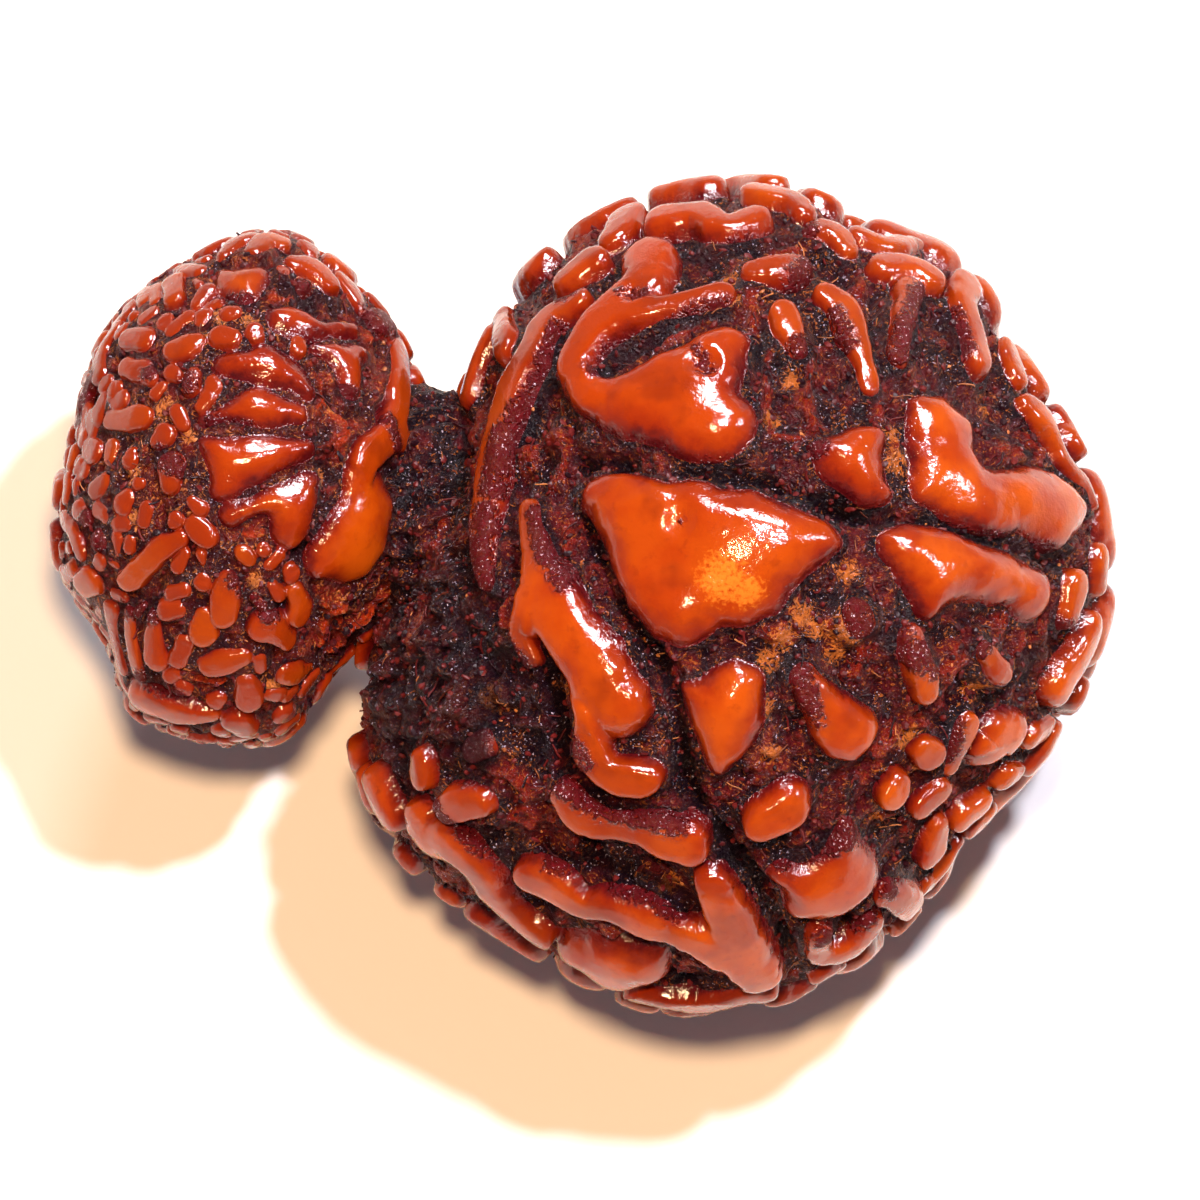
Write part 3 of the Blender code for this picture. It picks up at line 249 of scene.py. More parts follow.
# Broad lobes of the small seed
SMALL_PADS = {
    "top pad": [(-16.0, 10.25), (-15.5, 10.28), (-15, 10.3), (-14.5, 10.25), (-14.35, 10.0), (-14.4, 9.8),
                (-14.7, 9.4), (-15.1, 9.2), (-15.6, 9.4), (-16, 9.8)],
    "wedge": [(-12.95, 7.95), (-12.2, 7.98), (-11.5, 7.95), (-11.2, 7.8), (-11.15, 7.5), (-11.3, 7.2),
              (-11.4, 6.6), (-11.5, 6.2), (-11.9, 6.3), (-12.1, 6.8), (-12.3, 7.2), (-12.7, 7.6)],
    "brow": [(-14.3, 8.95), (-13.8, 9.05), (-13.4, 9.0), (-13, 8.8), (-12.6, 8.65), (-12, 8.7), (-11.6, 8.55),
             (-11.5, 8.2), (-12, 8.15), (-12.8, 8.1), (-13.3, 8.15), (-13.8, 8.3), (-14.2, 8.5)],
    "first petal": [(-16, 7.4), (-15.6, 7.55), (-15, 7.65), (-14.4, 7.8), (-14, 7.6), (-13.5, 7.25),
                    (-13.1, 6.9), (-12.85, 6.4), (-13, 6.1), (-13.4, 6.25), (-13.9, 6.5), (-14.4, 6.7),
                    (-15, 6.85), (-16, 7.05)],
    "second petal": [(-16.4, 5.55), (-15.8, 5.85), (-15.3, 6.2), (-15, 6.42), (-14.6, 6.4), (-14.2, 6.25),
                     (-13.6, 6.15), (-13.2, 5.9), (-13.05, 5.6), (-13.2, 5.35), (-13.8, 5.35),
                     (-14.6, 5.4), (-15.5, 5.45), (-16.4, 5.4)],
    "third petal": [(-16.45, 4.85), (-16, 4.95), (-15, 4.9), (-14, 4.85), (-13.2, 4.85), (-12.95, 4.7),
                    (-13.1, 4.4), (-13.8, 4.1), (-14.3, 3.8), (-15, 3.4), (-15.6, 3.1), (-16.1, 3.1),
                    (-16.15, 3.6), (-16.3, 4.2), (-16.5, 4.6)],
    "fourth petal": [(-12.8, 3.6), (-13.3, 3.7), (-13.8, 3.45), (-14.3, 3.15), (-14.9, 2.85), (-15.6, 2.7),
                     (-15.8, 2.4), (-15.5, 2.2), (-15, 2.4), (-14.4, 2.5), (-14.3, 2.1), (-14.2, 1.7),
                     (-13.9, 1.5), (-13.5, 1.5), (-13.1, 1.9), (-12.9, 2.5), (-12.75, 3.0)],
    "ridge foot": [(-11.8, 3.9), (-11.85, 3.3), (-12.1, 2.6), (-12.5, 2.0), (-12.9, 1.3), (-13.05, 0.8),
                   (-12.9, 0.45), (-12.5, 0.35), (-12, 0.3), (-11.5, 0.35), (-11.15, 0.6), (-10.75, 1.2),
                   (-10.5, 2.0), (-10.4, 2.8), (-10.6, 3.4), (-10.85, 3.9)],
}
SMALL_HOLLOWS = [(-10.4, 3.8, .3, .4)]
SMALL_CLEFTS = [[(-12.5, 6.2), (-12.6, 5.2), (-12.5, 4.4), (-12.3, 3.3), (-12.6, 2.2), (-13.2, 1.3)]]

# The lobes that the large seed rests on: runs of (x, y, half width) from its middle, seen from above
REST_RUNS = [[(-4.2, 0.1, 1.0), (-2.6, 0.5, 1.1), (-1.1, 0.6, 0.9)], [(-4.0, -2.1, 0.8), (-2.4, -2.9, 0.85)],
             [(-4.0, 2.6, 0.9), (-2.4, 3.2, 0.8)], [(-0.2, 3.5, 0.8), (1.4, 2.7, 0.8)],
             [(-0.2, -2.2, 0.8), (1.7, -2.0, 0.7)], [(1.0, 0.4, 0.6), (2.8, 0.4, 0.75)]]

# Where the segments of each seed meet, and the turns of the clefts round it that the face doesn't show
LARGE_MOUTH = (-5.8, 4.2)
SMALL_MOUTH = (-12.7, 5.25)
LARGE_CLEFT_TURNS = (150, 215, 285)
SMALL_CLEFT_TURNS = (40, 150, 215, 285)

# The lobes beyond the face follow a rule: worms of random length and bend that keep clear of each other.
# They reach up to a height over the middle, and in open zones (low u, high u, low v, high v) to another.
# They come in passes from broad to slim: half width and number of steps, each from the first value to the
# second, and tries. Each bends by a random share, tapers to its ends, and stops where its room is less than
# a share of the pass's least half width.
WORM_BEND = 0.3
WORM_TAPER = 0.22
WORM_LEAST = 0.75
LARGE_WORMS = {
    "gap": 0.3, "below": 0.8, "seed": 41, "step": 0.5, "zone_below": 8.0,
    "zones": [(-12, -7.5, -6.6, 0.3), (4.6, 9.5, -9, -2.6)],
    "passes": [((0.8, 1.15), (2, 7), 160), ((0.5, 0.72), (4, 13), 900), ((0.38, 0.5), (3, 8), 1500)],
}
SMALL_WORMS = {
    "gap": 0.2, "below": 0.5, "seed": 77, "step": 0.32, "zone_below": 0.5, "zones": [],
    "passes": [((0.5, 0.75), (2, 6), 90), ((0.32, 0.45), (4, 11), 600), ((0.24, 0.3), (3, 7), 900)],
}

# Where the ground of the large seed swallows its lobes: spots of (u, v, radius). A worm that reaches further
# in than the limit is left out, the other lobes sink by a share of the lobe height, and the ground is
# rougher by a share. The spots lie on the left flank, where lobes and ground are also painted darker: dark
# grit and painted shade.
LARGE_SUNK_AND_SHADED = [(-9.6, 0.6, 1.7), (-9.6, -1.8, 2.4), (-9.2, -4.0, 1.7), (-7.2, -2.8, 1.3), (-11.4, 0.4, 1.6),
              (-11.6, -2.2, 2.0), (-11.2, -4.6, 1.6)]
SUNK_LIMIT = 0.3
SUNK = 0.5
SUNK_ROUGHER = 0.8

# Small knobs that crowd the ground of the small seed: number tried, half width from the first to the second
# and the share of it at their slimmer end, length, the room they leave, how low and how far right (u) they
# reach, how many stay, and the random seed
SMALL_KNOBS = {"tries": 6000, "width": (0.15, 0.36), "slimmer": 0.7, "long": 0.3, "gap": 0.05,
               "over": -2.5, "left_of": -13.2, "most": 170, "seed": 51}

LARGE_FORM = {"runs": LARGE_RUNS, "pads": LARGE_PADS, "rest_runs": REST_RUNS, "hollows": LARGE_HOLLOWS,
              "clefts": LARGE_CLEFTS, "mouth": LARGE_MOUTH, "cleft_turns": LARGE_CLEFT_TURNS,
              "worms": LARGE_WORMS, "knobs": None, "sunk": LARGE_SUNK_AND_SHADED}
SMALL_FORM = {"runs": SMALL_RUNS, "pads": SMALL_PADS, "rest_runs": [], "hollows": SMALL_HOLLOWS,
              "clefts": SMALL_CLEFTS, "mouth": SMALL_MOUTH, "cleft_turns": SMALL_CLEFT_TURNS,
              "worms": SMALL_WORMS, "knobs": SMALL_KNOBS, "sunk": []}

# Dark grit that clings to the lobes, mostly along one side: runs of (u, v, half width), and how far it
# thins out at its edge
GRIT_EDGE = 0.5
LARGE_GRIT = {
    "left rim's inner side": [(-5.9, 8.3, .3), (-6.4, 7.2, .35), (-7.0, 6.0, .35), (-7.6, 4.9, .45),
                              (-7.9, 3.4, .4)],
    "left rim's foot": [(-8.1, 2.6, .4), (-8.3, 1.2, .5), (-8.1, 0.4, .4)],
    "collar's inner side": [(-4.8, 7.0, .3), (-4.3, 7.7, .35), (-3.2, 8.2, .25), (-2.0, 8.7, .25),
                            (-0.8, 9.0, .25)],
    "collar's dimple": [(-3.9, 9.2, .18), (-3.3, 9.2, .2)],
    "tongue's dimple": [(-1.6, 7.5, .22), (-1.4, 6.9, .27)],
    "top left's foot": [(-2.6, 11.0, .3), (-1.0, 10.9, .3), (0.8, 11.2, .35), (1.6, 11.4, .4)],
    "upper left knob's foot": [(-5.6, 9.2, .4), (-4.7, 9.8, .3)],
    "shoulder's tail": [(5.2, 9.4, .4), (5.0, 8.6, .45), (4.6, 7.6, .4)],
    "brow's end": [(1.2, 9.8, .25), (1.7, 10.1, .3)],
    "long bean's side": [(2.6, 8.7, .2), (3.0, 7.8, .2)],
    "small bean's end": [(1.5, 7.7, .3)],
    "pale rim's side": [(6.2, 8.8, .4), (6.6, 7.8, .35)],
    "right rim bean's side": [(8.0, 5.3, .45), (8.8, 4.7, .3)],
    "central pad's left end": [(2.1, 4.7, .3)],
    "bent lobe's foot": [(7.4, 2.0, .2), (9.4, 1.5, .3)],
    "triangle's dimple": [(-2.15, 2.35, .12)],
    "left long's top": [(-6.6, 2.6, .3), (-6.3, 1.4, .25), (-5.7, 0.5, .3)],
    "left long's tail": [(-5.3, -4.4, .3), (-4.9, -4.9, .2)],
    "dark knob": [(3.2, -0.3, .4), (3.3, -0.8, .4)],
    "maroon mound": [(4.3, -1.1, .5), (5.0, -1.6, .45), (5.4, -2.2, .2)],
    "slit bean's top": [(7.1, -1.4, .35)],
    "oblong's top": [(1.3, -2.0, .4), (1.7, -2.9, .3), (2.1, -3.7, .12)],
    "lower right rim's side": [(9.6, -0.9, .4), (9.0, -1.8, .4), (8.8, -2.6, .4)],
    "right ridge": [(6.3, -3.9, .3), (6.1, -4.8, .3)],
    "wavy's upper side": [(-5.7, -5.7, .3), (-4.5, -6.5, .25), (-3.3, -6.6, .25), (-2.2, -6.9, .25)],
    "big wave's upper side": [(-6.2, -8.1, .2), (-5.2, -8.4, .3), (-4.2, -8.8, .3), (-3.0, -9.1, .4),
                              (-2.2, -9.6, .4)],
    "right foot's top": [(0.9, -8.2, .3), (2.0, -7.9, .4), (2.9, -7.4, .4)],
    "pale knob's top": [(2.2, -10.2, .3), (3.2, -10.1, .3), (3.8, -9.6, .3)],
    "lower left rim's side": [(-9.4, -6.4, .4), (-8.7, -7.2, .35), (-7.8, -8.0, .35), (-7.0, -9.0, .35),
                              (-6.2, -9.9, .3)],
    "drip knob": [(4.3, -8.9, .3)],
    # The left flank's grit also paints shade on the flank.
    "left flank": [(-9.2, 0.6, 1.0), (-9.4, -1.4, 1.5), (-9.3, -3.2, 1.6), (-8.8, -4.8, 1.0)],
    "flank's inner side": [(-7.6, -1.8, .7), (-7.0, -3.4, .8), (-6.6, -4.8, .6)],
}
SMALL_GRIT = {
    "top leaf's foot": [(-14.5, 10.5, .22), (-14.0, 10.5, .15)],
    "top pad's foot": [(-15.6, 9.3, .22), (-15.0, 9.2, .22)],
    "right top's foot": [(-14.1, 9.8, .3), (-13.5, 9.55, .25), (-12.8, 9.2, .25)],
    "wedge's tip": [(-12.0, 6.4, .25), (-11.6, 6.1, .3)],
    "gritty knob": [(-11.2, 8.6, .5), (-10.6, 8.4, .5)],
    "gritty bean": [(-16.9, 6.6, .3)],
    "left rim": [(-20.0, 6.6, .5), (-20.3, 5.6, .4)],
    "left flank": [(-20.0, 2.2, .4), (-19.6, 1.6, .3)],
    "slanted bean's end": [(-18.1, 6.9, .25)],
    "red mound": [(-17.7, 4.3, .35), (-17.1, 3.9, .25)],
    "ridge's hollow": [(-10.7, 5.3, .25), (-10.5, 4.6, .2), (-10.4, 3.9, .3)],
    "low knobs": [(-15.4, 0.5, .25), (-14.3, -0.6, .25)],
    "heel": [(-18.2, -2.6, .4), (-17.2, -3.0, .3)],
    "fingers' tops": [(-18.9, -0.4, .3), (-18.0, -0.5, .3)],
    "second petal's foot": [(-16.2, 5.4, .2), (-15.0, 5.35, .12)],
}

# Spots fade out at this many radii from their middle
SPOT_REACH = 1.3

# Pale places on the lobes, a painted highlight where a rough patch catches the light: spots of (u, v, radius)
LARGE_PAINTED_HIGHLIGHT = [(-0.9, 0.7, 1.0), (-0.2, 0.3, .7)]
SMALL_PAINTED_HIGHLIGHT = []

# Tan fibrous places of the ground: spots of (u, v, radius) on the face
LARGE_TAN = [(0.6, -1.9, .5), (1.0, -1.2, .55), (1.6, -0.5, .6), (2.1, -0.9, .5), (2.7, -1.7, .5),
             (4.6, 4.4, .6), (4.5, 5.2, .4), (0.3, -3.4, .5), (0.6, -4.9, .5), (-0.6, 9.3, .4),
             (1.3, 7.0, .4), (0.7, 5.8, .4), (-3.0, -8.2, .5), (-2.6, -9.1, .4), (7.2, -2.9, .5),
             (4.0, -7.0, .4), (5.3, -5.2, .5), (3.1, 0.9, .5), (7.6, 6.3, .4), (-6.2, -2.9, .5),
             (-0.9, 10.1, .6), (2.9, -1.0, .7), (-8.3, -3.2, .6), (4.9, -4.3, .6)]
SMALL_TAN = [(-15.8, 8.7, .45), (-15.0, 8.6, .35), (-17.6, 5.8, .5), (-16.3, 1.8, .4), (-18.6, 3.8, .4),
             (-12.5, 3.7, .35), (-16.9, 5.0, .3), (-12.3, 5.9, .3), (-17.0, -1.6, .4), (-14.3, -2.9, .5),
             (-14.8, 0.4, .35), (-18.5, 2.4, .4), (-16.2, 8.0, .3)]

# The rounds of halving in the spheres that the neck is drawn from and that the seeds' cages start from
NECK_ROUNDS = 6
CAGE_ROUNDS = 6

# The longest edges of the fine meshes in millimetres: near a lobe's foot, on lobe tops and on the ground,
# the half width of the band of short edges, and how much longer they may be on the sides that the face
# doesn't show. Long edges are halved in rounds, the points are evened out in rounds, each by a share of its
# way to its neighbours' middle, and points nearer than SNAP to a foot are moved onto it.
FINE = {"foot": 0.093, "top": 0.2, "ground": 0.14, "band": 0.2, "hidden": 2.0}
SPLIT_ROUNDS = 5
RELAX_ROUNDS = 3
RELAX_SHARE = 0.6
SNAP = 0.045

# How far round a lobe its edge is measured, how its outline wanders in layers of (wavelength, width, seed),
# and how far the runs of one lobe and lobes that are neighbours melt into each other
EDGE_REACH = 0.7
WANDER = ((1.1, 0.13, 1), (0.45, 0.07, 2))
OWN_MELT = 0.4
MELT = 0.24

# A lobe's form: the shoulder of a broad one, how much lower one with a narrower shoulder than FULL_SHOULDER
# stays, how far its sides bulge, how its top undulates and domes, where its height is eased to a ceiling and
# how far over that it may rise, and over which shoulders a lobe turns from narrow to broad and from slim to
# plain
PAD_SHOULDER = 1.45
FULL_SHOULDER = 0.5
NARROW_LOSS = 0.45
SWELL = 0.1
UNDULATION = ((2.3, 0.1, 3), (0.9, 0.06, 4))
CROWN = {"height": 0.16, "reach": 2.4, "room": 0.1}
CEILING = (0.88, 0.13)
BROAD = (0.6, 1.2)
SLIM = (0.25, 0.7)

# The ground's roughness in layers of (wavelength, height, seed), how much of a clump's height lies in its
# creases, and from where to where inside a lobe's foot and outside it the roughness sets in
GROUND_NOISE = ((1.7, 0.15, 5), (0.2, 0.05, 8))
GROUND_CLUMPS = ((0.95, 0.34, 6), (0.5, 0.24, 7))
CREASE_SHARE = 0.3
ROUGH_FROM = (-0.02, 0.25)

# The face ends and the hidden sides begin at this height over the seed's middle, over this far
HIDDEN_BELOW = 1.0
HIDDEN_OVER = 1.5

# From how hidden the ground belongs to its piece at the back, so that neither piece grows too large
BACK_FROM = 0.02

# Ground heaped against the lobes' feet, higher at slim ones, and low winding ridges between the lobes:
# height is a share of the lobe height, noise is (wavelength, seed). The ridges keep clear of the feet, and
# break off where their noise for gaps is low.
PILE = {"height": 0.2, "slim": 0.28, "uneven": 0.5, "reach": 0.55, "noise": (1.1, 21)}
RIDGE_WIDTH = 0.3
RIDGE_CLEAR = 0.3
RIDGE_BREAKS = (-0.25, 0.1)

# Where each seed's looks lie, the random seed of its lobes' tints, and its ridges
LARGE_LOOKS = {"grit": LARGE_GRIT, "tan": LARGE_TAN, "pale": LARGE_PAINTED_HIGHLIGHT, "seed": 11,
               "ridges": {"noise": (1.5, 22), "gaps": (1.3, 25), "height": 0.36}}
SMALL_LOOKS = {"grit": SMALL_GRIT, "tan": SMALL_TAN, "pale": SMALL_PAINTED_HIGHLIGHT, "seed": 12,
               "ridges": {"noise": (1.0, 23), "gaps": (0.9, 26), "height": 0.6}}

# How brown each knob is: the least, and the random share over that
KNOB_TINTS = (0.4, 0.6)

# What lies deeper than this inside the other seed is left out
BURIED = 0.4

# The inputs of the trees that strew fibres and crumbs, the steps along a fibre and its sides, the least and
# the most that a copy is scaled along its axes, and the wavelength of the noise that bends the copies
STREWN_INPUTS = (("Density", "NodeSocketFloat"), ("Length", "NodeSocketFloat"),
                 ("Thickness", "NodeSocketFloat"), ("Gathering", "NodeSocketFloat"),
                 ("Seed", "NodeSocketInt"), ("Material", "NodeSocketMaterial"))
FIBRE_STEPS = 5
FIBRE_SIDES = 3
STREWN_LEAST = (0.4, 0.4, 0.3)
STREWN_MOST = (1.6, 1.4, 1.1)
STREWN_WAVELENGTH = 0.5

# What is strewn: number per square millimetre, length, thickness, how much denser where the ground is tan,
# and seed
TAN_FIBRES = (0.45, 0.42, 0.04, 8, 1)
DARK_FIBRES = (0.8, 0.45, 0.07, 0, 5)
CRUMBS = (4.2, 0.22, 0, 0, 9)
TAN_CRUMBS = (0.15, 0.14, 0, 16, 13)


def rgb(red, green, blue):
    """A colour as the screen shows it, turned to the linear values that a shader reads."""
    screen = np.array((red, green, blue)) / 255
    linear = np.where(screen <= 0.04045, screen / 12.92, ((screen + 0.055) / 1.055) ** 2.4)
    return (*linear.tolist(), 1.0)


# The colours of the lobes and of the grit on them. The bright orange is partly each lobe's own tint and
# partly painted light on the seed's right side; the red and the foot colour are painted shade on the lobes'
# sides and feet;
# the pale colour is a painted highlight and the grit's glint colour a painted glint.
LOBE_ORANGE = rgb(150, 50, 4)
LOBE_BRIGHT_TINT_AND_LIGHT = rgb(186, 84, 10)
LOBE_PAINTED_HIGHLIGHT = rgb(205, 112, 30)
LOBE_SIDE_SHADE = rgb(118, 24, 6)
LOBE_BROWN = rgb(108, 30, 6)
LOBE_FOOT_SHADE = rgb(62, 8, 12)
KNOB_BROWN = rgb(128, 38, 12)
GRIT_DARK = rgb(30, 7, 17)
GRIT_MAROON = rgb(92, 12, 20)
GRIT_PAINTED_GLINT = rgb(225, 190, 210)

# The colours of the ground: dark, main, bright, dry and the red of its ridges. The dark one is also painted
# shade in the pits, in the clefts and at the lobes' feet, and the bright one painted light on the high
# relief.
LARGE_GROUND = (rgb(17, 5, 16), rgb(78, 14, 22), rgb(122, 32, 22), rgb(186, 104, 44), rgb(124, 26, 12))
SMALL_GROUND = (rgb(40, 9, 18), rgb(108, 26, 20), rgb(152, 50, 20), rgb(198, 118, 60), rgb(160, 46, 10))
GROUND_RED = rgb(92, 24, 24)
# The ground's glint colour is a painted glint
GROUND_PAINTED_GLINT = rgb(205, 195, 225)

# The colours of the fibres and of the sheet that the seed lies on
FIBRE_BROWN = rgb(92, 36, 18)
FIBRE_TAN = rgb(190, 122, 74)
FLOOR_WHITE = (0.86, 0.86, 0.86, 1)

# The lights: (turn, height) in degrees, distance, size, power, colour, and whether it lights surfaces or only
# adds highlights to them
KEY_LIGHT = ((30, 73.5), 0.35, 0.022, 1.36, (0.9, 0.9, 1.0), True)
WARM_LIGHT = ((262, 81.5), 0.35, 0.035, 1.42, (1.0, 0.62, 0.33), True)
BACK_LIGHT = ((92, 42), 0.35, 0.08, 0.45, (1.0, 0.98, 1.0), True)
SHINE_ABOVE = ((74, 50), 0.35, 0.16, 5.2, (1.0, 0.95, 1.0), False)
SHINE_RIGHT = ((8, 38), 0.35, 0.08, 1.0, (1.0, 0.93, 1.0), False)
AIM = Vector((0, 0, 0.01))

# The room's brightness overhead and at its sides, and the radius of the sheet
ROOM_TOP = (0.12, 0.1, 0.11, 1)
ROOM_SIDES = (0.38, 0.36, 0.38, 1)
FLOOR_RADIUS = 1.2

# The camera's frame in millimetres, its middle on the face, and its distance
FRAME_WIDTH = 36.0
FRAME_MIDDLE = (-4.5, 0.0, 0.0)
CAMERA_DISTANCE = 800.0


def outline_radius(shell, angle):
    """The outline's radius at an angle, on a closed smooth curve through its named radii."""
    turn = 2 * np.pi
    x = np.radians([degrees for degrees, radius in shell["outline"]])
    y = np.array([radius for degrees, radius in shell["outline"]])
    x = np.concatenate((x[-2:] - turn, x, x[:2] + turn))
    y = np.concatenate((y[-2:], y, y[:2]))
    slope = np.zeros(len(x))
    slope[1:-1] = (y[2:] - y[:-2]) / (x[2:] - x[:-2])
    angle = np.mod(angle, turn)
    i = np.clip(np.searchsorted(x, angle, side="right") - 1, 1, len(x) - 3)
    width = x[i + 1] - x[i]
    t = (angle - x[i]) / width
    rise = y[i] * (1 + 2 * t) * (1 - t) ** 2 + y[i + 1] * t * t * (3 - 2 * t)
    return rise + width * (slope[i] * t * (1 - t) ** 2 - slope[i + 1] * t * t * (1 - t))


def shell_radius(shell, ways):
    """The shell's radius along unit directions (a, b, c) from its middle."""
    rim = outline_radius(shell, np.arctan2(ways[:, 1], ways[:, 0]))
    flat = ways[:, 0] ** 2 + ways[:, 1] ** 2
    return 1 / np.sqrt(flat / rim ** 2 + (ways[:, 2] / shell["depth"]) ** 2)


def on_shell(shell, u, v):
    """The point of the shell that the face shows at (u, v), measured from the shell's middle."""
    a = u - shell["middle"][0]
    b = v - shell["middle"][1]
    reach = np.hypot(a, b) / float(outline_radius(shell, np.arctan2(b, a)))
    inside = min(reach, 0.99) / max(reach, 1e-9)
    return np.array((a * inside, b * inside, shell["depth"] * np.sqrt(1 - min(reach, 0.99) ** 2)))


def unit(vectors):
    return vectors / np.linalg.norm(vectors, axis=-1, keepdims=True)


def run_lobe(shell, runs):
    """A lobe of tapering runs: segments from start to end, with a half width at each end."""
    segments = []
    for run in runs:
        points = [(*on_shell(shell, u, v), half_width) for u, v, half_width in run]
        segments += [(*start, *end) for start, end in zip(points, points[1:])]
    segments = np.array(segments)
    return {"start": segments[:, 0:3], "end": segments[:, 4:7], "width": segments[:, (3, 7)], "pad": None}


def pad_lobe(shell, outline):
    """A broad lobe inside a closed outline."""
    points = np.array([on_shell(shell, u, v) for u, v in outline])
    return {"start": points, "end": np.roll(points, -1, axis=0), "width": np.zeros((len(points), 2)),
            "pad": points}


def inside_outline(points, outline):
    """Which points lie inside a closed outline, as the face shows them."""
    inside = np.zeros(len(points), bool)
    for start, end in zip(outline, np.roll(outline, -1, axis=0)):
        spans = (start[1] > points[:, 1]) != (end[1] > points[:, 1])
        drop = end[1] - start[1]
        crossing = start[0] + (points[:, 1] - start[1]) * (end[0] - start[0]) / (drop if drop else 1e-9)
        inside ^= spans & (points[:, 0] < crossing)
    return inside & (points[:, 2] > outline[:, 2].min() - 2)


def rise_of(depth, shoulder):
    """A lobe's height from 0 at its edge to 1 on top, round at the shoulder."""
    t = np.clip(depth / shoulder, 0, 1)
    fullness = np.minimum(1, 1 - NARROW_LOSS + NARROW_LOSS * shoulder / FULL_SHOULDER)
    return (1 - (1 - t) ** 2) ** 0.5 * fullness


def cleft_paths(shell, face_clefts, mouth, turns):
    """The clefts as paths on the shell: those of the face, and arcs from the mouth round to the far end."""
    paths = [np.array([on_shell(shell, u, v) for u, v in cleft]) for cleft in face_clefts]
    pole = unit(on_shell(shell, *mouth))
    side = unit(np.cross(pole, (0, 0, 1)))
    up = np.cross(side, pole)
    for turn in np.radians(turns):
        out = np.cos(turn) * side + np.sin(turn) * up
        arc = np.radians(CLEFT_ARC)[:, None]
        ways = np.cos(arc) * pole + np.sin(arc) * out
        paths.append(ways * shell_radius(shell, ways)[:, None])
    return paths


def path_distance(path, points):
    """How far each point is from a path."""
    nearest = np.full(len(points), np.inf)
    for start, end in zip(path, path[1:]):
        along = end - start
        t = np.clip((points - start) @ along / (along @ along), 0, 1)
        nearest = np.minimum(nearest, np.linalg.norm(points - start - t[:, None] * along, axis=1))
    return nearest


def spots_of(lobes, clefts, rule):
    """Round spots (a, b, c, half width) that stand for what a new lobe has to keep clear of."""
    spots = [(*point, 0.0) for lobe in lobes if lobe["pad"] is not None for point in lobe["pad"]]
    for lobe in lobes:
        for start, end, width in zip(lobe["start"], lobe["end"], lobe["width"]):
            for t in (0, 0.33, 0.67, 1):
                spots.append((*(start + (end - start) * t), width[0] + (width[1] - width[0]) * t))
    for path in clefts:
        for start, end in zip(path, path[1:]):
            if start[2] < rule["below"]:
                spots += [(*(start + (end - start) * t), CLEFT_ROOM) for t in (0, 0.5)]
    return np.array(spots)


def grow_worms(shell, lobes, clefts, rule):
    """Worm lobes over what the face doesn't show, each clear of the clefts and of every lobe before it."""
    draw = np.random.default_rng(rule["seed"])
    spots = spots_of(lobes, clefts, rule)

    def to_shell(point):
        way = unit(point)
        return way * shell_radius(shell, way[None])[0]

    def room(point):
        return (np.linalg.norm(spots[:, :3] - point, axis=1) - spots[:, 3]).min() - rule["gap"]

    def beyond_face(point):
        u, v = point[:2] + shell["middle"][:2]
        in_zone = any(low <= u <= high and bottom <= v <= top for low, high, bottom, top in rule["zones"])
        return point[2] < (rule["zone_below"] if in_zone else rule["below"])

    worms = []
    for widths, steps, tries in rule["passes"]:
        for _ in range(tries):
            point = to_shell(draw.normal(size=3))
            heading = draw.normal(size=3)
            bend = draw.normal(scale=WORM_BEND)
            wanted = draw.uniform(*widths)
            length = draw.integers(*steps)
            if not beyond_face(point) or room(point) < widths[0]:
                continue
            run = []
            for i in range(length):
                fullness = 1 - WORM_TAPER + WORM_TAPER * np.sin(np.pi * (i + 0.5) / length)
                width = min(wanted * fullness, room(point))
                if not beyond_face(point) or width < WORM_LEAST * widths[0]:
                    break
                run.append((*point, width))
                out = unit(point)
                heading = unit(heading - out * (heading @ out) + bend * np.cross(out, heading))
                point = to_shell(point + heading * rule["step"])
            if len(run) > 1:
                run = np.array(run)
                spots = np.concatenate((spots, run))
                worms.append({"start": run[:-1, :3], "end": run[1:, :3],
                              "width": np.stack((run[:-1, 3], run[1:, 3]), axis=1), "pad": None})
    return worms


def rest_lobes(shell, runs):
    """Lobes on the underside, laid out as (x, y, half width) from the shell's middle."""
    lobes = []
    for run in runs:
        ways = unit(np.array([(x, y, -shell["depth"]) for x, y, half_width in run]) @ FACE_TURN.T)
        points = np.column_stack((ways * shell_radius(shell, ways)[:, None], [point[2] for point in run]))
        lobes.append({"start": points[:-1, :3], "end": points[1:, :3],
                      "width": np.stack((points[:-1, 3], points[1:, 3]), axis=1), "pad": None})
    return lobes


def face_to_world(points):
    """Points (u, v, w) of the face, in millimetres, as world points in metres."""
    return (points @ FACE_TURN + LARGE_MIDDLE) * MM


def smooth_step(value, low, high):
    t = np.clip((value - low) / (high - low), 0, 1)
    return t * t * (3 - 2 * t)


def noise(points, wavelength, seed):
    """Smooth noise from -1 to 1, from random values on a lattice."""
    size = 32
    lattice = np.random.default_rng(seed).uniform(-1, 1, (size, size, size))
    place = points / wavelength + 0.37 * seed
    cell = np.floor(place).astype(int)
    part = smooth_step(place - cell, 0, 1)
    total = np.zeros(len(points))
    for corner in np.ndindex(2, 2, 2):
        weight = np.prod(np.where(corner, part, 1 - part), axis=1)
        total += weight * lattice[tuple(((cell + corner) % size).T)]
    return total


def layered_noise(points, layers):
    return sum(height * noise(points, wavelength, seed) for wavelength, height, seed in layers)


def ground_height(points):
    """The ground's rough relief: soft noise, and round clumps with sharp creases between them."""
    clumps = sum(height * (np.abs(noise(points, wavelength, seed)) - CREASE_SHARE)
                 for wavelength, height, seed in GROUND_CLUMPS)
    return layered_noise(points, GROUND_NOISE) + clumps


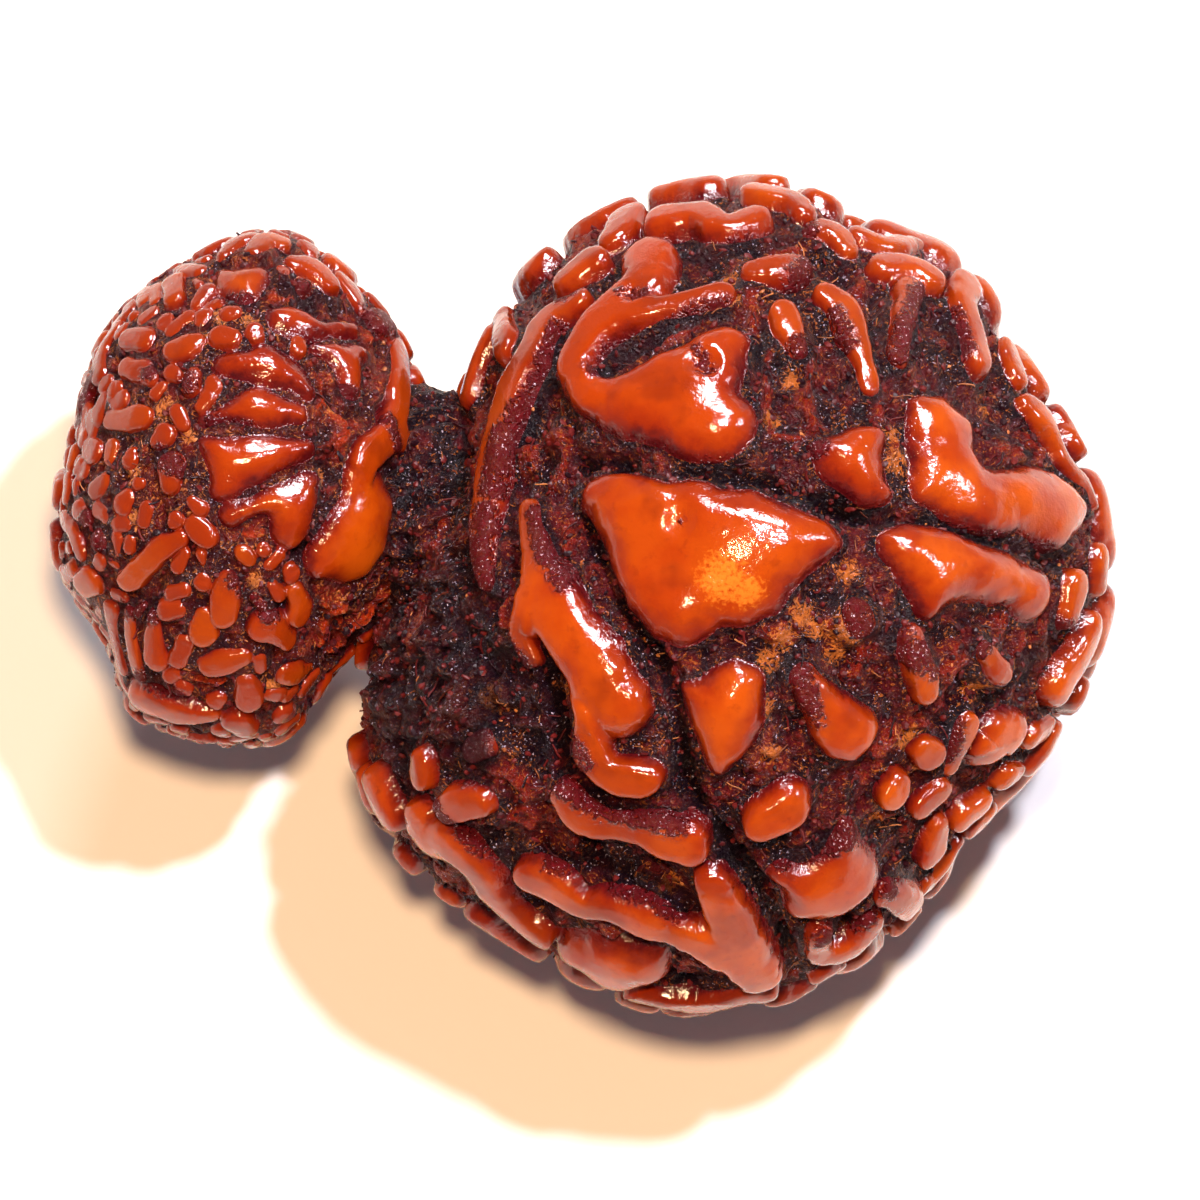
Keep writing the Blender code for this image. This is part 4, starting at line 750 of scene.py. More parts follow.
def rounded(path, closed):
    """A path with points added between its own, on a smooth curve through them."""
    path = np.array(path, float)
    before = np.roll(path, 1, axis=0)
    after = np.roll(path, -1, axis=0)
    if not closed:
        before[0] = path[0]
        after[-1] = path[-1]
    slope = (after - before) / 2
    points = []
    for i in range(len(path) if closed else len(path) - 1):
        j = (i + 1) % len(path)
        for t in (0, 1 / 3, 2 / 3):
            points.append(path[i] * (1 + 2 * t) * (1 - t) ** 2 + path[j] * t * t * (3 - 2 * t)
                          + slope[i] * t * (1 - t) ** 2 - slope[j] * t * t * (1 - t))
    if not closed:
        points.append(path[-1])
    return np.array(points)


def knob_lobes(shell, lobes, rule):
    """Small knobs strewn over the ground of the face, longer than wide, each as broad as its room allows."""
    draw = np.random.default_rng(rule["seed"])
    starts = unit(draw.normal(size=(rule["tries"], 3)))
    ends = unit(starts + draw.normal(scale=rule["long"] / shell["depth"], size=starts.shape))
    starts *= shell_radius(shell, starts)[:, None]
    ends *= shell_radius(shell, ends)[:, None]
    wanted = draw.uniform(*rule["width"], size=len(starts))
    depth = np.maximum(lobe_fields(shell, lobes, starts)[0], lobe_fields(shell, lobes, ends)[0])
    room = np.minimum(wanted, -depth - rule["gap"])
    over = (starts[:, 2] > rule["over"]) & (starts[:, 0] + shell["middle"][0] < rule["left_of"])
    spots = np.full((1, 4), 99.0)
    knobs = []
    for i in np.nonzero(over & (room > rule["width"][0]))[0]:
        line = np.stack((starts[i], (starts[i] + ends[i]) / 2, ends[i]))
        away = np.linalg.norm(spots[:, None, :3] - line, axis=2) - spots[:, None, 3]
        width = min(room[i], away.min() - rule["gap"])
        if width > rule["width"][0]:
            spots = np.concatenate((spots, np.column_stack((line, np.full(3, width)))))
            knobs.append({"start": starts[i:i + 1], "end": ends[i:i + 1], "pad": None,
                          "width": np.array([[width, rule["slimmer"] * width]])})
    return knobs[:rule["most"]]


def fine_lobes(shell, form, clefts):
    """The solid's own lobes, with the laid out ones on smooth curves, and small knobs between them."""
    plain = [run_lobe(shell, runs) for runs in form["runs"].values()]
    pads = [pad_lobe(shell, pad) for pad in form["pads"].values()]
    resting = rest_lobes(shell, form["rest_runs"])
    worms = grow_worms(shell, plain + pads + resting, clefts, form["worms"])
    worms = [worm for worm in worms if spot_mask(shell, form["sunk"], worm["start"]).max() < SUNK_LIMIT]
    fine = []
    for owner, runs in enumerate(form["runs"].values()):
        fine += [{**run_lobe(shell, [rounded(run, False)]), "owner": owner} for run in runs]
    others = [pad_lobe(shell, rounded(pad, True)) for pad in form["pads"].values()] + resting + worms
    fine += [{**lobe, "owner": len(plain) + index} for index, lobe in enumerate(others)]
    knobs = knob_lobes(shell, fine, form["knobs"]) if form["knobs"] else []
    first = len(plain) + len(others)
    return fine + [{**lobe, "owner": first + index, "knob": True} for index, lobe in enumerate(knobs)]


def lobe_edge(lobe, points):
    """How far inside a lobe's edge each point lies, the lobe's shoulder there, and the way to its outside."""
    depth = np.full(len(points), -np.inf)
    shoulder = np.full(len(points), PAD_SHOULDER)
    outward = np.zeros((len(points), 3))
    for start, end, (near, far) in zip(lobe["start"], lobe["end"], lobe["width"]):
        along = end - start
        t = np.clip((points - start) @ along / max(along @ along, 1e-9), 0, 1)
        half_width = near + (far - near) * t
        away = points - start - t[:, None] * along
        distance = np.linalg.norm(away, axis=1)
        closer = half_width - distance > depth
        depth[closer] = (half_width - distance)[closer]
        outward[closer] = (away / np.maximum(distance, 1e-6)[:, None])[closer]
        if lobe["pad"] is None:
            shoulder[closer] = np.maximum(half_width, 0.1)[closer]
    if lobe["pad"] is not None:
        inside = inside_outline(points, lobe["pad"])
        depth = np.where(inside, -depth, depth)
        outward[inside] *= -1
    return depth, shoulder, outward


def lobe_fields(shell, lobes, points):
    """For points of the shell: depth inside the nearest lobe edge, way out of it, that lobe's shoulder, and
    whose lobe it is. Runs that meet melt into each other."""
    depth = np.full(len(points), -EDGE_REACH)
    outward = np.zeros((len(points), 3))
    shoulder = np.full(len(points), PAD_SHOULDER)
    owner = np.full(len(points), -1)
    wander = layered_noise(points, WANDER) + shell["fuller"]
    for lobe in lobes:
        ends = np.concatenate((lobe["start"], lobe["end"]))
        middle = (ends.min(axis=0) + ends.max(axis=0)) / 2
        reach = np.linalg.norm(ends - middle, axis=1).max() + lobe["width"].max() + EDGE_REACH
        near = np.nonzero(((points - middle) ** 2).sum(axis=1) < reach ** 2)[0]
        here, side, out = lobe_edge(lobe, points[near])
        here += wander[near]
        before = depth[near]
        melt = np.where(owner[near] == lobe["owner"], OWN_MELT, MELT)
        share = np.clip(0.5 + (here - before) / (2 * melt), 0, 1)
        depth[near] = before + (here - before) * share + melt * share * (1 - share)
        outward[near] += (out - outward[near]) * share[:, None]
        shoulder[near] += (side - shoulder[near]) * share
        owner[near[here > before]] = lobe["owner"]
    return depth, outward, shoulder, owner


def icosphere(rounds):
    """The directions and faces of an even sphere."""
    cage = bmesh.new()
    bmesh.ops.create_icosphere(cage, subdivisions=rounds, radius=1.0)
    ways = np.array([point.co for point in cage.verts])
    faces = np.array([[point.index for point in face.verts] for face in cage.faces])
    cage.free()
    return unit(ways), faces


def edges_of(faces, count):
    """Each edge once, as its two point numbers, and the numbers of each face's three edges."""
    pairs = np.sort(np.stack((faces, np.roll(faces, -1, axis=1)), axis=2), axis=2)
    numbers = pairs[..., 0].astype(np.int64) * count + pairs[..., 1]
    keys, edges_of_face = np.unique(numbers, return_inverse=True)
    return np.stack((keys // count, keys % count), axis=1), edges_of_face.reshape(faces.shape)


def halve_long_edges(points, faces, wanted):
    """Faces split where edges are longer than their ends want, always a face's longest edge first."""
    edges, of_face = edges_of(faces, len(points))
    length = np.linalg.norm(points[edges[:, 0]] - points[edges[:, 1]], axis=1)
    marked = length > wanted[edges].mean(axis=1)
    longest = np.argmax(length[of_face], axis=1)
    turned = (longest[:, None] + np.arange(3)) % 3
    faces = np.take_along_axis(faces, turned, axis=1)
    of_face = np.take_along_axis(of_face, turned, axis=1)
    while True:
        open_faces = marked[of_face].any(axis=1) & ~marked[of_face[:, 0]]
        if not open_faces.any():
            break
        marked[of_face[open_faces, 0]] = True
    middle = np.full(len(edges), -1)
    middle[marked] = len(points) + np.arange(marked.sum())
    a, b, c = faces.T
    m, n, p = middle[of_face].T
    cut = m >= 0
    pieces = [faces[~cut]]
    right_cut = cut & (n >= 0)
    left_cut = cut & (p >= 0)
    for chosen, corners in ((cut & ~right_cut, (m, b, c)), (right_cut, (m, b, n)), (right_cut, (m, n, c)),
                            (cut & ~left_cut, (a, m, c)), (left_cut, (a, m, p)), (left_cut, (p, m, c))):
        pieces.append(np.stack(corners, axis=1)[chosen])
    return edges[marked], np.concatenate(pieces)


def hidden_share(height):
    """From 0 on the face to 1 on the sides that it doesn't show."""
    return 1 - smooth_step(height, HIDDEN_BELOW - HIDDEN_OVER, HIDDEN_BELOW + HIDDEN_OVER)


def wanted_length(depth, height):
    """The longest edge that a place may have."""
    foot = FINE["foot"]
    on_top = smooth_step(depth, FINE["band"], 2 * FINE["band"])
    on_ground = smooth_step(-depth, FINE["band"], 2 * FINE["band"])
    length = foot + (FINE["top"] - foot) * on_top + (FINE["ground"] - foot) * on_ground
    return length * (1 + (FINE["hidden"] - 1) * hidden_share(height))


def relaxed(ways, faces, rounds):
    """Directions evened out, each moved towards the middle of its neighbours."""
    edges = edges_of(faces, len(ways))[0]
    both = np.concatenate((edges, edges[:, ::-1]))
    links = np.bincount(both[:, 0], minlength=len(ways))
    for _ in range(rounds):
        total = [np.bincount(both[:, 0], ways[both[:, 1], axis], len(ways)) for axis in range(3)]
        ways = unit(ways + RELAX_SHARE * (np.stack(total, axis=1) / links[:, None] - ways))
    return ways


def fine_cage(shell, lobes):
    """Directions and faces that are small where the relief is steep, with an edge along every lobe's foot."""
    ways, faces = icosphere(CAGE_ROUNDS)
    points = ways * shell_radius(shell, ways)[:, None]
    depth = lobe_fields(shell, lobes, points)[0]
    for _ in range(SPLIT_ROUNDS):
        ends, faces = halve_long_edges(points, faces, wanted_length(depth, points[:, 2]))
        if not len(ends):
            break
        added = unit(ways[ends].mean(axis=1))
        added_points = added * shell_radius(shell, added)[:, None]
        ways = np.concatenate((ways, added))
        points = np.concatenate((points, added_points))
        depth = np.concatenate((depth, lobe_fields(shell, lobes, added_points)[0]))
    ways = relaxed(ways, faces, RELAX_ROUNDS)
    points = ways * shell_radius(shell, ways)[:, None]
    depth, outward = lobe_fields(shell, lobes, points)[:2]
    at_foot = np.abs(depth) < SNAP * wanted_length(depth, points[:, 2]) / FINE["foot"]
    ways = unit(points + outward * (depth * at_foot)[:, None])
    return ways, faces, at_foot


def spot_mask(shell, spots, points):
    """From 1 in the middle of round spots on the face to 0 past their edges."""
    mask = np.zeros(len(points))
    for u, v, size in spots:
        away = np.linalg.norm(points - on_shell(shell, u, v), axis=1) / size
        mask = np.maximum(mask, np.clip(SPOT_REACH - away, 0, 1))
    return mask


def run_mask(shell, runs, points):
    """From 1 inside tapering runs on the face to 0 past their edges."""
    mask = np.zeros(len(points))
    for run in runs.values():
        lobe = run_lobe(shell, [run, run[-1:] + run[-1:]])
        mask = np.maximum(mask, np.clip(0.5 + lobe_edge(lobe, points)[0] / GRIT_EDGE, 0, 1))
    return mask


def seed_surface(shell, form, looks):
    """A seed's fine surface: its points, faces, which faces are lobe, and the fields its finish reads."""
    clefts = cleft_paths(shell, form["clefts"], form["mouth"], form["cleft_turns"])
    lobes = fine_lobes(shell, form, clefts)
    ways, faces, at_foot = fine_cage(shell, lobes)
    radius = shell_radius(shell, ways)
    top = ways * radius[:, None]
    depth, outward, shoulder, owner = lobe_fields(shell, lobes, top)
    depth[at_foot] = 0
    rise = rise_of(depth, shoulder)
    across = np.clip(depth / shoulder, 0, 1)
    swell = SWELL * np.sin(np.pi * across) * np.minimum(1, rise)
    crown = CROWN["height"] * smooth_step(depth, 0, CROWN["reach"]) + layered_noise(top, UNDULATION)
    broad = smooth_step(shoulder, *BROAD)
    slim = 1 - smooth_step(shoulder, *SLIM)
    sunk = spot_mask(shell, form["sunk"], top)
    height = rise * (1 - CROWN["room"] * broad - SUNK * sunk) + crown * np.clip(rise, 0, 1) ** 2
    for u, v, size, dip in form["hollows"]:
        away = np.linalg.norm(top - on_shell(shell, u, v), axis=1) / size
        height -= dip * np.clip(1 - away ** 2, 0, 1) ** 2
    knee, over = CEILING
    height = np.where(height > knee, knee + over * np.tanh((height - knee) / over), height)
    uneven = 1 + PILE["uneven"] * noise(top, *PILE["noise"])
    pile = (PILE["height"] + PILE["slim"] * slim) * uneven * (1 - sunk)
    pile *= smooth_step(depth, -PILE["reach"], 0)
    broken = smooth_step(noise(top, *looks["ridges"]["gaps"]), *RIDGE_BREAKS)
    ridge = smooth_step(1 - np.abs(noise(top, *looks["ridges"]["noise"])) / RIDGE_WIDTH, 0, 1) * broken
    ridge *= smooth_step(-depth, 0, RIDGE_CLEAR)
    height = np.maximum(height, pile)
    height = np.maximum(height, looks["ridges"]["height"] * ridge)
    ground = smooth_step(-depth, *ROUGH_FROM)
    relief = ground_height(top) * (1 + SUNK_ROUGHER * sunk)
    for path in clefts:
        near = np.clip(1 - (path_distance(path, top) / CLEFT_HALF_WIDTH) ** 2, 0, 1)
        near *= CLEFT_UNEVEN + CLEFT_UNEVEN * noise(top, *CLEFT_NOISE)
        height -= CLEFT_DIP * near * (rise < 0.05)
        relief -= CLEFT_CUT * near
    radius = radius - shell["lobe_height"] * (1 - height) + ground * relief
    outward -= ways * np.sum(outward * ways, axis=1, keepdims=True)
    points = ways * radius[:, None] + outward * swell[:, None]
    tints = np.random.default_rng(looks["seed"]).uniform(0, 1, owner.max() + 2)
    knobs = [lobe["owner"] for lobe in lobes if "knob" in lobe]
    darker = KNOB_TINTS[0] + KNOB_TINTS[1] * tints[owner]
    fields = {"depth": depth, "across": across, "grit": run_mask(shell, looks["grit"], top),
              "tan": spot_mask(shell, looks["tan"], top), "pale": spot_mask(shell, looks["pale"], top),
              "tint": tints[owner], "knob": np.isin(owner, knobs) * darker,
              "ridge": ridge, "relief": relief, "slim": slim, "sunk": sunk,
              "hidden": hidden_share(top[:, 2])}
    return points + np.array(shell["middle"]), faces, depth[faces].mean(axis=1) > 0, fields


def inside_shell(shell, points, margin):
    """Which points of the face frame lie deeper than a margin inside a shell."""
    local = points - np.array(shell["middle"])
    distance = np.linalg.norm(local, axis=1)
    return distance < shell_radius(shell, unit(local)) - shell["lobe_height"] - margin


def piece_from(name, points, faces, fields):
    """An object of some faces, with only the points that they use, kept inside the solid's box."""
    used, faces = np.unique(faces, return_inverse=True)
    faces = faces.reshape(-1, 3)
    places = np.clip(face_to_world(points[used]), CAD_LOW, CAD_HIGH)
    mesh = bpy.data.meshes.new(name)
    mesh.vertices.add(len(used))
    mesh.vertices.foreach_set("co", places.ravel())
    mesh.loops.add(faces.size)
    mesh.loops.foreach_set("vertex_index", faces.ravel())
    mesh.polygons.add(len(faces))
    mesh.polygons.foreach_set("loop_start", np.arange(0, faces.size, 3))
    for field, values in fields.items():
        attribute = mesh.attributes.new(field, "FLOAT", "POINT")
        attribute.data.foreach_set("value", values[used])
    mesh.update(calc_edges=True)
    mesh.validate()
    mesh.shade_smooth()
    piece = bpy.data.objects.new(name, mesh)
    bpy.context.scene.collection.objects.link(piece)
    return piece


def seed_pieces(name, shell, form, looks, other_shell):
    """A seed's lobes and its ground, which is two pieces: the face's and the hidden sides'."""
    points, faces, is_lobe, fields = seed_surface(shell, form, looks)
    buried = inside_shell(other_shell, points, BURIED)[faces].all(axis=1)
    lobes = piece_from(name + "_lobes", points, faces[is_lobe & ~buried], fields)
    behind = fields["hidden"][faces].mean(axis=1) > BACK_FROM
    ground = piece_from(name + "_ground_face", points, faces[~is_lobe & ~buried & ~behind], fields)
    back = piece_from(name + "_ground_back", points, faces[~is_lobe & ~buried & behind], fields)
    return lobes, ground, back


def neck_piece():
    """The short rough neck that joins the seeds, ribbed along its length."""
    radii = np.array(NECK_RADII)
    ways, faces = icosphere(NECK_ROUNDS)
    ribs = np.sin(NECK_RIBS["count"] * np.arctan2(ways[:, 2], ways[:, 1]) + NECK_RIBS["twist"] * ways[:, 0])
    points = ways * (1 / np.linalg.norm(ways / radii, axis=1) + NECK_RIBS["height"] * ribs)[:, None]
    relief = ground_height(points)
    points += ways * relief[:, None]
    # Painted shade: the neck's colours read it as lower than it lies, so it is darker between the seeds.
    fields = {"depth": np.full(len(ways), -NECK_PAINTED_SHADE), "relief": relief - NECK_PAINTED_SHADE}
    fields.update({field: np.zeros(len(ways)) for field in ("grit", "tan", "sunk", "ridge")})
    return piece_from("neck", points + np.array(NECK_MIDDLE), faces, fields)


class Field:
    """An output socket of a node tree. Arithmetic on it adds its own Math nodes."""

    def __init__(self, tree, socket):
        self.tree = tree
        self.socket = socket

    def node(self, kind, settings, inputs, output=0):
        """Any node: its settings are set first, then its sockets get their values or links."""
        node = self.tree.nodes.new(kind)
        for name, value in settings.items():
            setattr(node, name, value)
        for key, value in inputs.items():
            if isinstance(value, Field):
                self.tree.links.new(value.socket, node.inputs[key])
            else:
                node.inputs[key].default_value = value
        return Field(self.tree, node.outputs[output])

    def calculate(self, operation, first, second):
        return self.node("ShaderNodeMath", {"operation": operation}, {0: first, 1: second})

    def __add__(self, other):
        return self.calculate("ADD", self, other)

    def __radd__(self, other):
        return self.calculate("ADD", other, self)

    def __sub__(self, other):
        return self.calculate("SUBTRACT", self, other)

    def __rsub__(self, other):
        return self.calculate("SUBTRACT", other, self)

    def __mul__(self, other):
        return self.calculate("MULTIPLY", self, other)

    def __rmul__(self, other):
        return self.calculate("MULTIPLY", other, self)

    def larger(self, other):
        return self.calculate("MAXIMUM", self, other)

    def smooth(self, low, high):
        """From 0 at low to 1 at high."""
        return self.node("ShaderNodeMapRange", {"interpolation_type": "SMOOTHSTEP"},
                         {"Value": self, "From Min": low, "From Max": high})

    def noise(self, size, detail=2.0, rough=0.5, warp=0.0):
        """Noise with features of a size in millimetres, on this field as coordinates."""
        inputs = {"Vector": self, "Scale": 1 / (size * MM), "Detail": detail, "Roughness": rough}
        return self.node("ShaderNodeTexNoise", {}, {**inputs, "Distortion": warp})

    def cells(self, size):
        """Distance from the middles of cells of a size in millimetres."""
        return self.node("ShaderNodeTexVoronoi", {}, {"Vector": self, "Scale": 1 / (size * MM)})

    def mix(self, colour, amount):
        """This colour turned into another by an amount."""
        return self.node("ShaderNodeMix", {"data_type": "RGBA"}, {0: amount, 6: self, 7: colour}, 2)

    def plain(self, colour):
        """A colour to start mixing from."""
        start = self.node("ShaderNodeRGB", {}, {})
        start.socket.default_value = colour
        return start

    def attribute(self, name):
        return self.node("ShaderNodeAttribute", {"attribute_name": name}, {}, 2)


def new_material(name, fixed):
    """A material with the numbers that are the same all over it, its Principled node and its coordinates."""
    material = bpy.data.materials.new(name)
    material.use_nodes = True
    surface = material.node_tree.nodes["Principled BSDF"]
    for socket, value in fixed.items():
        surface.inputs[socket].default_value = value
    place = material.node_tree.nodes.new("ShaderNodeTexCoord")
    return material, surface, Field(material.node_tree, place.outputs["Object"])


def finish_with(surface, place, fields, bump, depth):
    """What varies over a surface goes into its sockets, with a bump of some depth in millimetres."""
    for socket, field in fields.items():
        place.tree.links.new(field.socket, surface.inputs[socket])
    normal = place.node("ShaderNodeBump", {}, {"Strength": 1.0, "Distance": depth * MM, "Height": bump})
    place.tree.links.new(normal.socket, surface.inputs["Normal"])
    return normal


def lobe_material():
    """Glossy orange brown on top, with painted shade down the sides and at the deep maroon feet, some painted
    light and a painted highlight, and patches of dark glittering grit with painted glints.
    """
    material, surface, place = new_material("glossy lobe skin", {"IOR": 1.5, "Specular IOR Level": 0.34})
    depth = place.attribute("depth")
    across = place.attribute("across")
    broad = place.noise(1.6, 3.0)
    middling = place.noise(0.42, 3.0, 0.6)
    fine = place.noise(0.13, 2.0)
    crumb = place.noise(0.11, 3.0, 0.7)
    # Painted light: lobes towards the seed's right side are painted brighter and less brown; the rest of the
    # brightening is each lobe's own random tint.
    right = place.node("ShaderNodeSeparateXYZ", {}, {"Vector": place}, 0).smooth(0.004, 0.013)
    tint_and_painted_light = (place.attribute("tint") * 0.6 + right * 0.5) * broad.smooth(0.3, 0.6)
    skin = place.plain(LOBE_ORANGE).mix(LOBE_BRIGHT_TINT_AND_LIGHT, tint_and_painted_light)
    skin = skin.mix(LOBE_BROWN, place.noise(2.6, 3.0, 0.6).smooth(0.5, 0.66) * (0.55 - 0.4 * right))
    skin = skin.mix(LOBE_BROWN, (middling.smooth(0.56, 0.72) * 0.3).larger(0.45 * place.attribute("slim")))
    skin = skin.mix(KNOB_BROWN, place.attribute("knob") * (0.5 + 0.5 * broad.smooth(0.35, 0.6)))
    # Painted highlight: pale spots where the lobes catch the light, broken up by fine noise into sparse
    # specks.
    painted_highlight = place.attribute("pale") + (fine - 0.5) * 1.4 + (crumb - 0.5) * 0.8
    skin = skin.mix(LOBE_PAINTED_HIGHLIGHT, painted_highlight.smooth(0.4, 1.1))
    # Painted shade: the lobes darken to red down their sides and to deep maroon at their feet, where shade
    # falls.
    uneven = across + (middling - 0.5) * 0.5 + (broad - 0.5) * 0.7 + 0.3 * place.attribute("knob")
    skin = skin.mix(LOBE_SIDE_SHADE, (1 - uneven.smooth(0.02, 0.8)) * 0.8)
    skin = skin.mix(LOBE_FOOT_SHADE, 1 - uneven.smooth(-0.1, 0.3))
    speckle = (middling - 0.5) * 1.6 + (fine - 0.5) * 1.3
    smears = (place.noise(2.2, 2.0) - 0.56) * (1.2 + 3 * place.attribute("hidden"))
    cover = place.attribute("grit").larger(smears) * (1.0 + 1.5 * speckle) - depth * 0.2 - 0.12
    cover = cover.larger(0.3 - across * 2.2 + speckle * 0.35)
    stain = cover.smooth(-0.2, 0.5)
    grit = cover.smooth(0.2, 0.55)
    skin = skin.mix(GRIT_MAROON, stain * 0.65)
    clots = place.noise(0.34, 4.0, 0.75, 1.5)
    dark = place.plain(GRIT_DARK).mix(GRIT_MAROON, clots.smooth(0.4, 0.62))
    # Painted glints: pale specks in the grit stand in for its sparkling reflections.
    dark = dark.mix(GRIT_PAINTED_GLINT, crumb.smooth(0.625, 0.66))
    skin = skin.mix(dark, grit * (0.45 + 0.5 * clots.smooth(0.42, 0.56)))
    # Painted shade with dark grit: the lobes are darker where they sink into the left flank.
    skin = skin.mix(GRIT_DARK, (place.attribute("sunk") + (middling - 0.5) * 0.8).smooth(0.2, 0.7) * 0.7)
    roughness = 0.09 + 0.07 * middling + 0.06 * grit
    bump = broad * 0.3 + middling * 0.25 + fine * (0.06 + 0.3 * stain)
    bump = bump + crumb * (0.02 + 0.5 * grit) + clots * grit
    normal = finish_with(surface, place, {"Base Color": skin, "Roughness": roughness}, bump, 0.12)
    crust = {"Base Color": skin, "Roughness": 0.4, "Specular IOR Level": 0.05, "Normal": normal}
    dull = place.node("ShaderNodeBsdfPrincipled", {}, crust)
    covered = grit * (1.25 - crumb.smooth(0.5, 0.62)) * 0.95
    glossy = Field(place.tree, surface.outputs[0])
    mixed = place.node("ShaderNodeMixShader", {}, {0: covered, 1: glossy, 2: dull})
    place.tree.links.new(mixed.socket, material.node_tree.nodes["Material Output"].inputs["Surface"])
    return material


def ground_material(name, colours):
    """Rough ground, wet and crumbly: painted shade in its pits, clefts and at the lobes' feet, painted light
    on its high places, red on its ridges, with tan fibre and painted cold glints.
    """
    dark, main, bright, dry, ridge_red = colours
    material, surface, place = new_material(name, {"IOR": 1.5, "Specular IOR Level": 0.16})
    broad = place.noise(1.1, 3.0)
    middling = place.noise(0.33, 4.0, 0.65)
    fine = place.noise(0.1, 3.0, 0.7)
    crumb = place.cells(0.16)
    # Painted light and shade: the ground is painted brighter on its high relief and dark in its pits and
    # clefts.
    high = place.attribute("relief") * 1.6 + (middling - 0.5) * 1.6 + (fine - 0.5) * 0.6
    ground = place.plain(main).mix(bright, high.smooth(0.0, 0.5))
    ridge = place.attribute("ridge") + (middling - 0.5) * 1.2
    ground = ground.mix(ridge_red, ridge.smooth(0.35, 0.95))
    ground = ground.mix(dark, (broad - place.attribute("ridge") * 0.3).smooth(0.42, 0.58) * 0.9)
    ground = ground.mix(dark, 1 - high.smooth(-0.6, -0.02))
    # Painted shade: the ground is darker next to the lobes' feet and round the neck.
    at_foot = (place.attribute("depth") + (middling - 0.5) * 0.5).smooth(-0.3, -0.02)
    ground = ground.mix(dark, at_foot * 0.75)
    strands = place.noise(0.3, 3.0, 0.6, 3.0)
    tan = place.attribute("tan") * 1.1 + (strands - 0.5) * 3.2 + (fine - 0.5) * 0.8
    flecks = (strands * 0.8 + fine * 0.25 + high * 0.06).smooth(0.57, 0.68)
    ground = ground.mix(dry, tan.smooth(0.45, 1.0).larger(flecks * 0.75))
    # The ground is darker under the grit and on the left flank: dark grit, and painted shade on the flank.
    grit_and_painted_shade = place.attribute("grit").larger(1.3 * place.attribute("sunk"))
    ground = ground.mix(dark, (grit_and_painted_shade + (middling - 0.5) * 0.8).smooth(0.2, 0.8) * 0.8)
    # Painted glints: pale specks on the ground stand in for its sparkling reflections.
    painted_glint = place.noise(0.085, 1.0).smooth(0.675, 0.71) * broad.smooth(0.4, 0.6)
    ground = ground.mix(GROUND_PAINTED_GLINT, painted_glint * 0.8)
    roughness = 0.24 - 0.08 * painted_glint + 0.1 * middling
    finish_with(surface, place, {"Base Color": ground, "Roughness": roughness},
                middling * 1.0 + strands * 0.9 + fine * 0.7 + crumb * 0.3, 0.22)
    return material


def strand_material(name, dark, light):
    """Dry fibre or crumb: each one its own shade between two colours."""
    material, surface, place = new_material(name, {"IOR": 1.45, "Specular IOR Level": 0.15})
    grain = place.noise(0.12, 2.0)
    fibre = place.plain(dark).mix(light, (place.attribute("shade") + (grain - 0.5) * 0.6).smooth(0.1, 0.95))
    finish_with(surface, place, {"Base Color": fibre, "Roughness": 0.6 - 0.3 * grain}, grain, 0.03)
    return material


def new_tree(name, inputs):
    """A geometry tree with named inputs: (name, kind, value)."""
    tree = bpy.data.node_groups.new(name, "GeometryNodeTree")
    tree.interface.new_socket("Geometry", in_out="INPUT", socket_type="NodeSocketGeometry")
    tree.interface.new_socket("Geometry", in_out="OUTPUT", socket_type="NodeSocketGeometry")
    for label, kind in inputs:
        tree.interface.new_socket(label, in_out="INPUT", socket_type=kind)
    source = tree.nodes.new("NodeGroupInput")
    return tree, {socket.name: Field(tree, socket) for socket in source.outputs if socket.name}


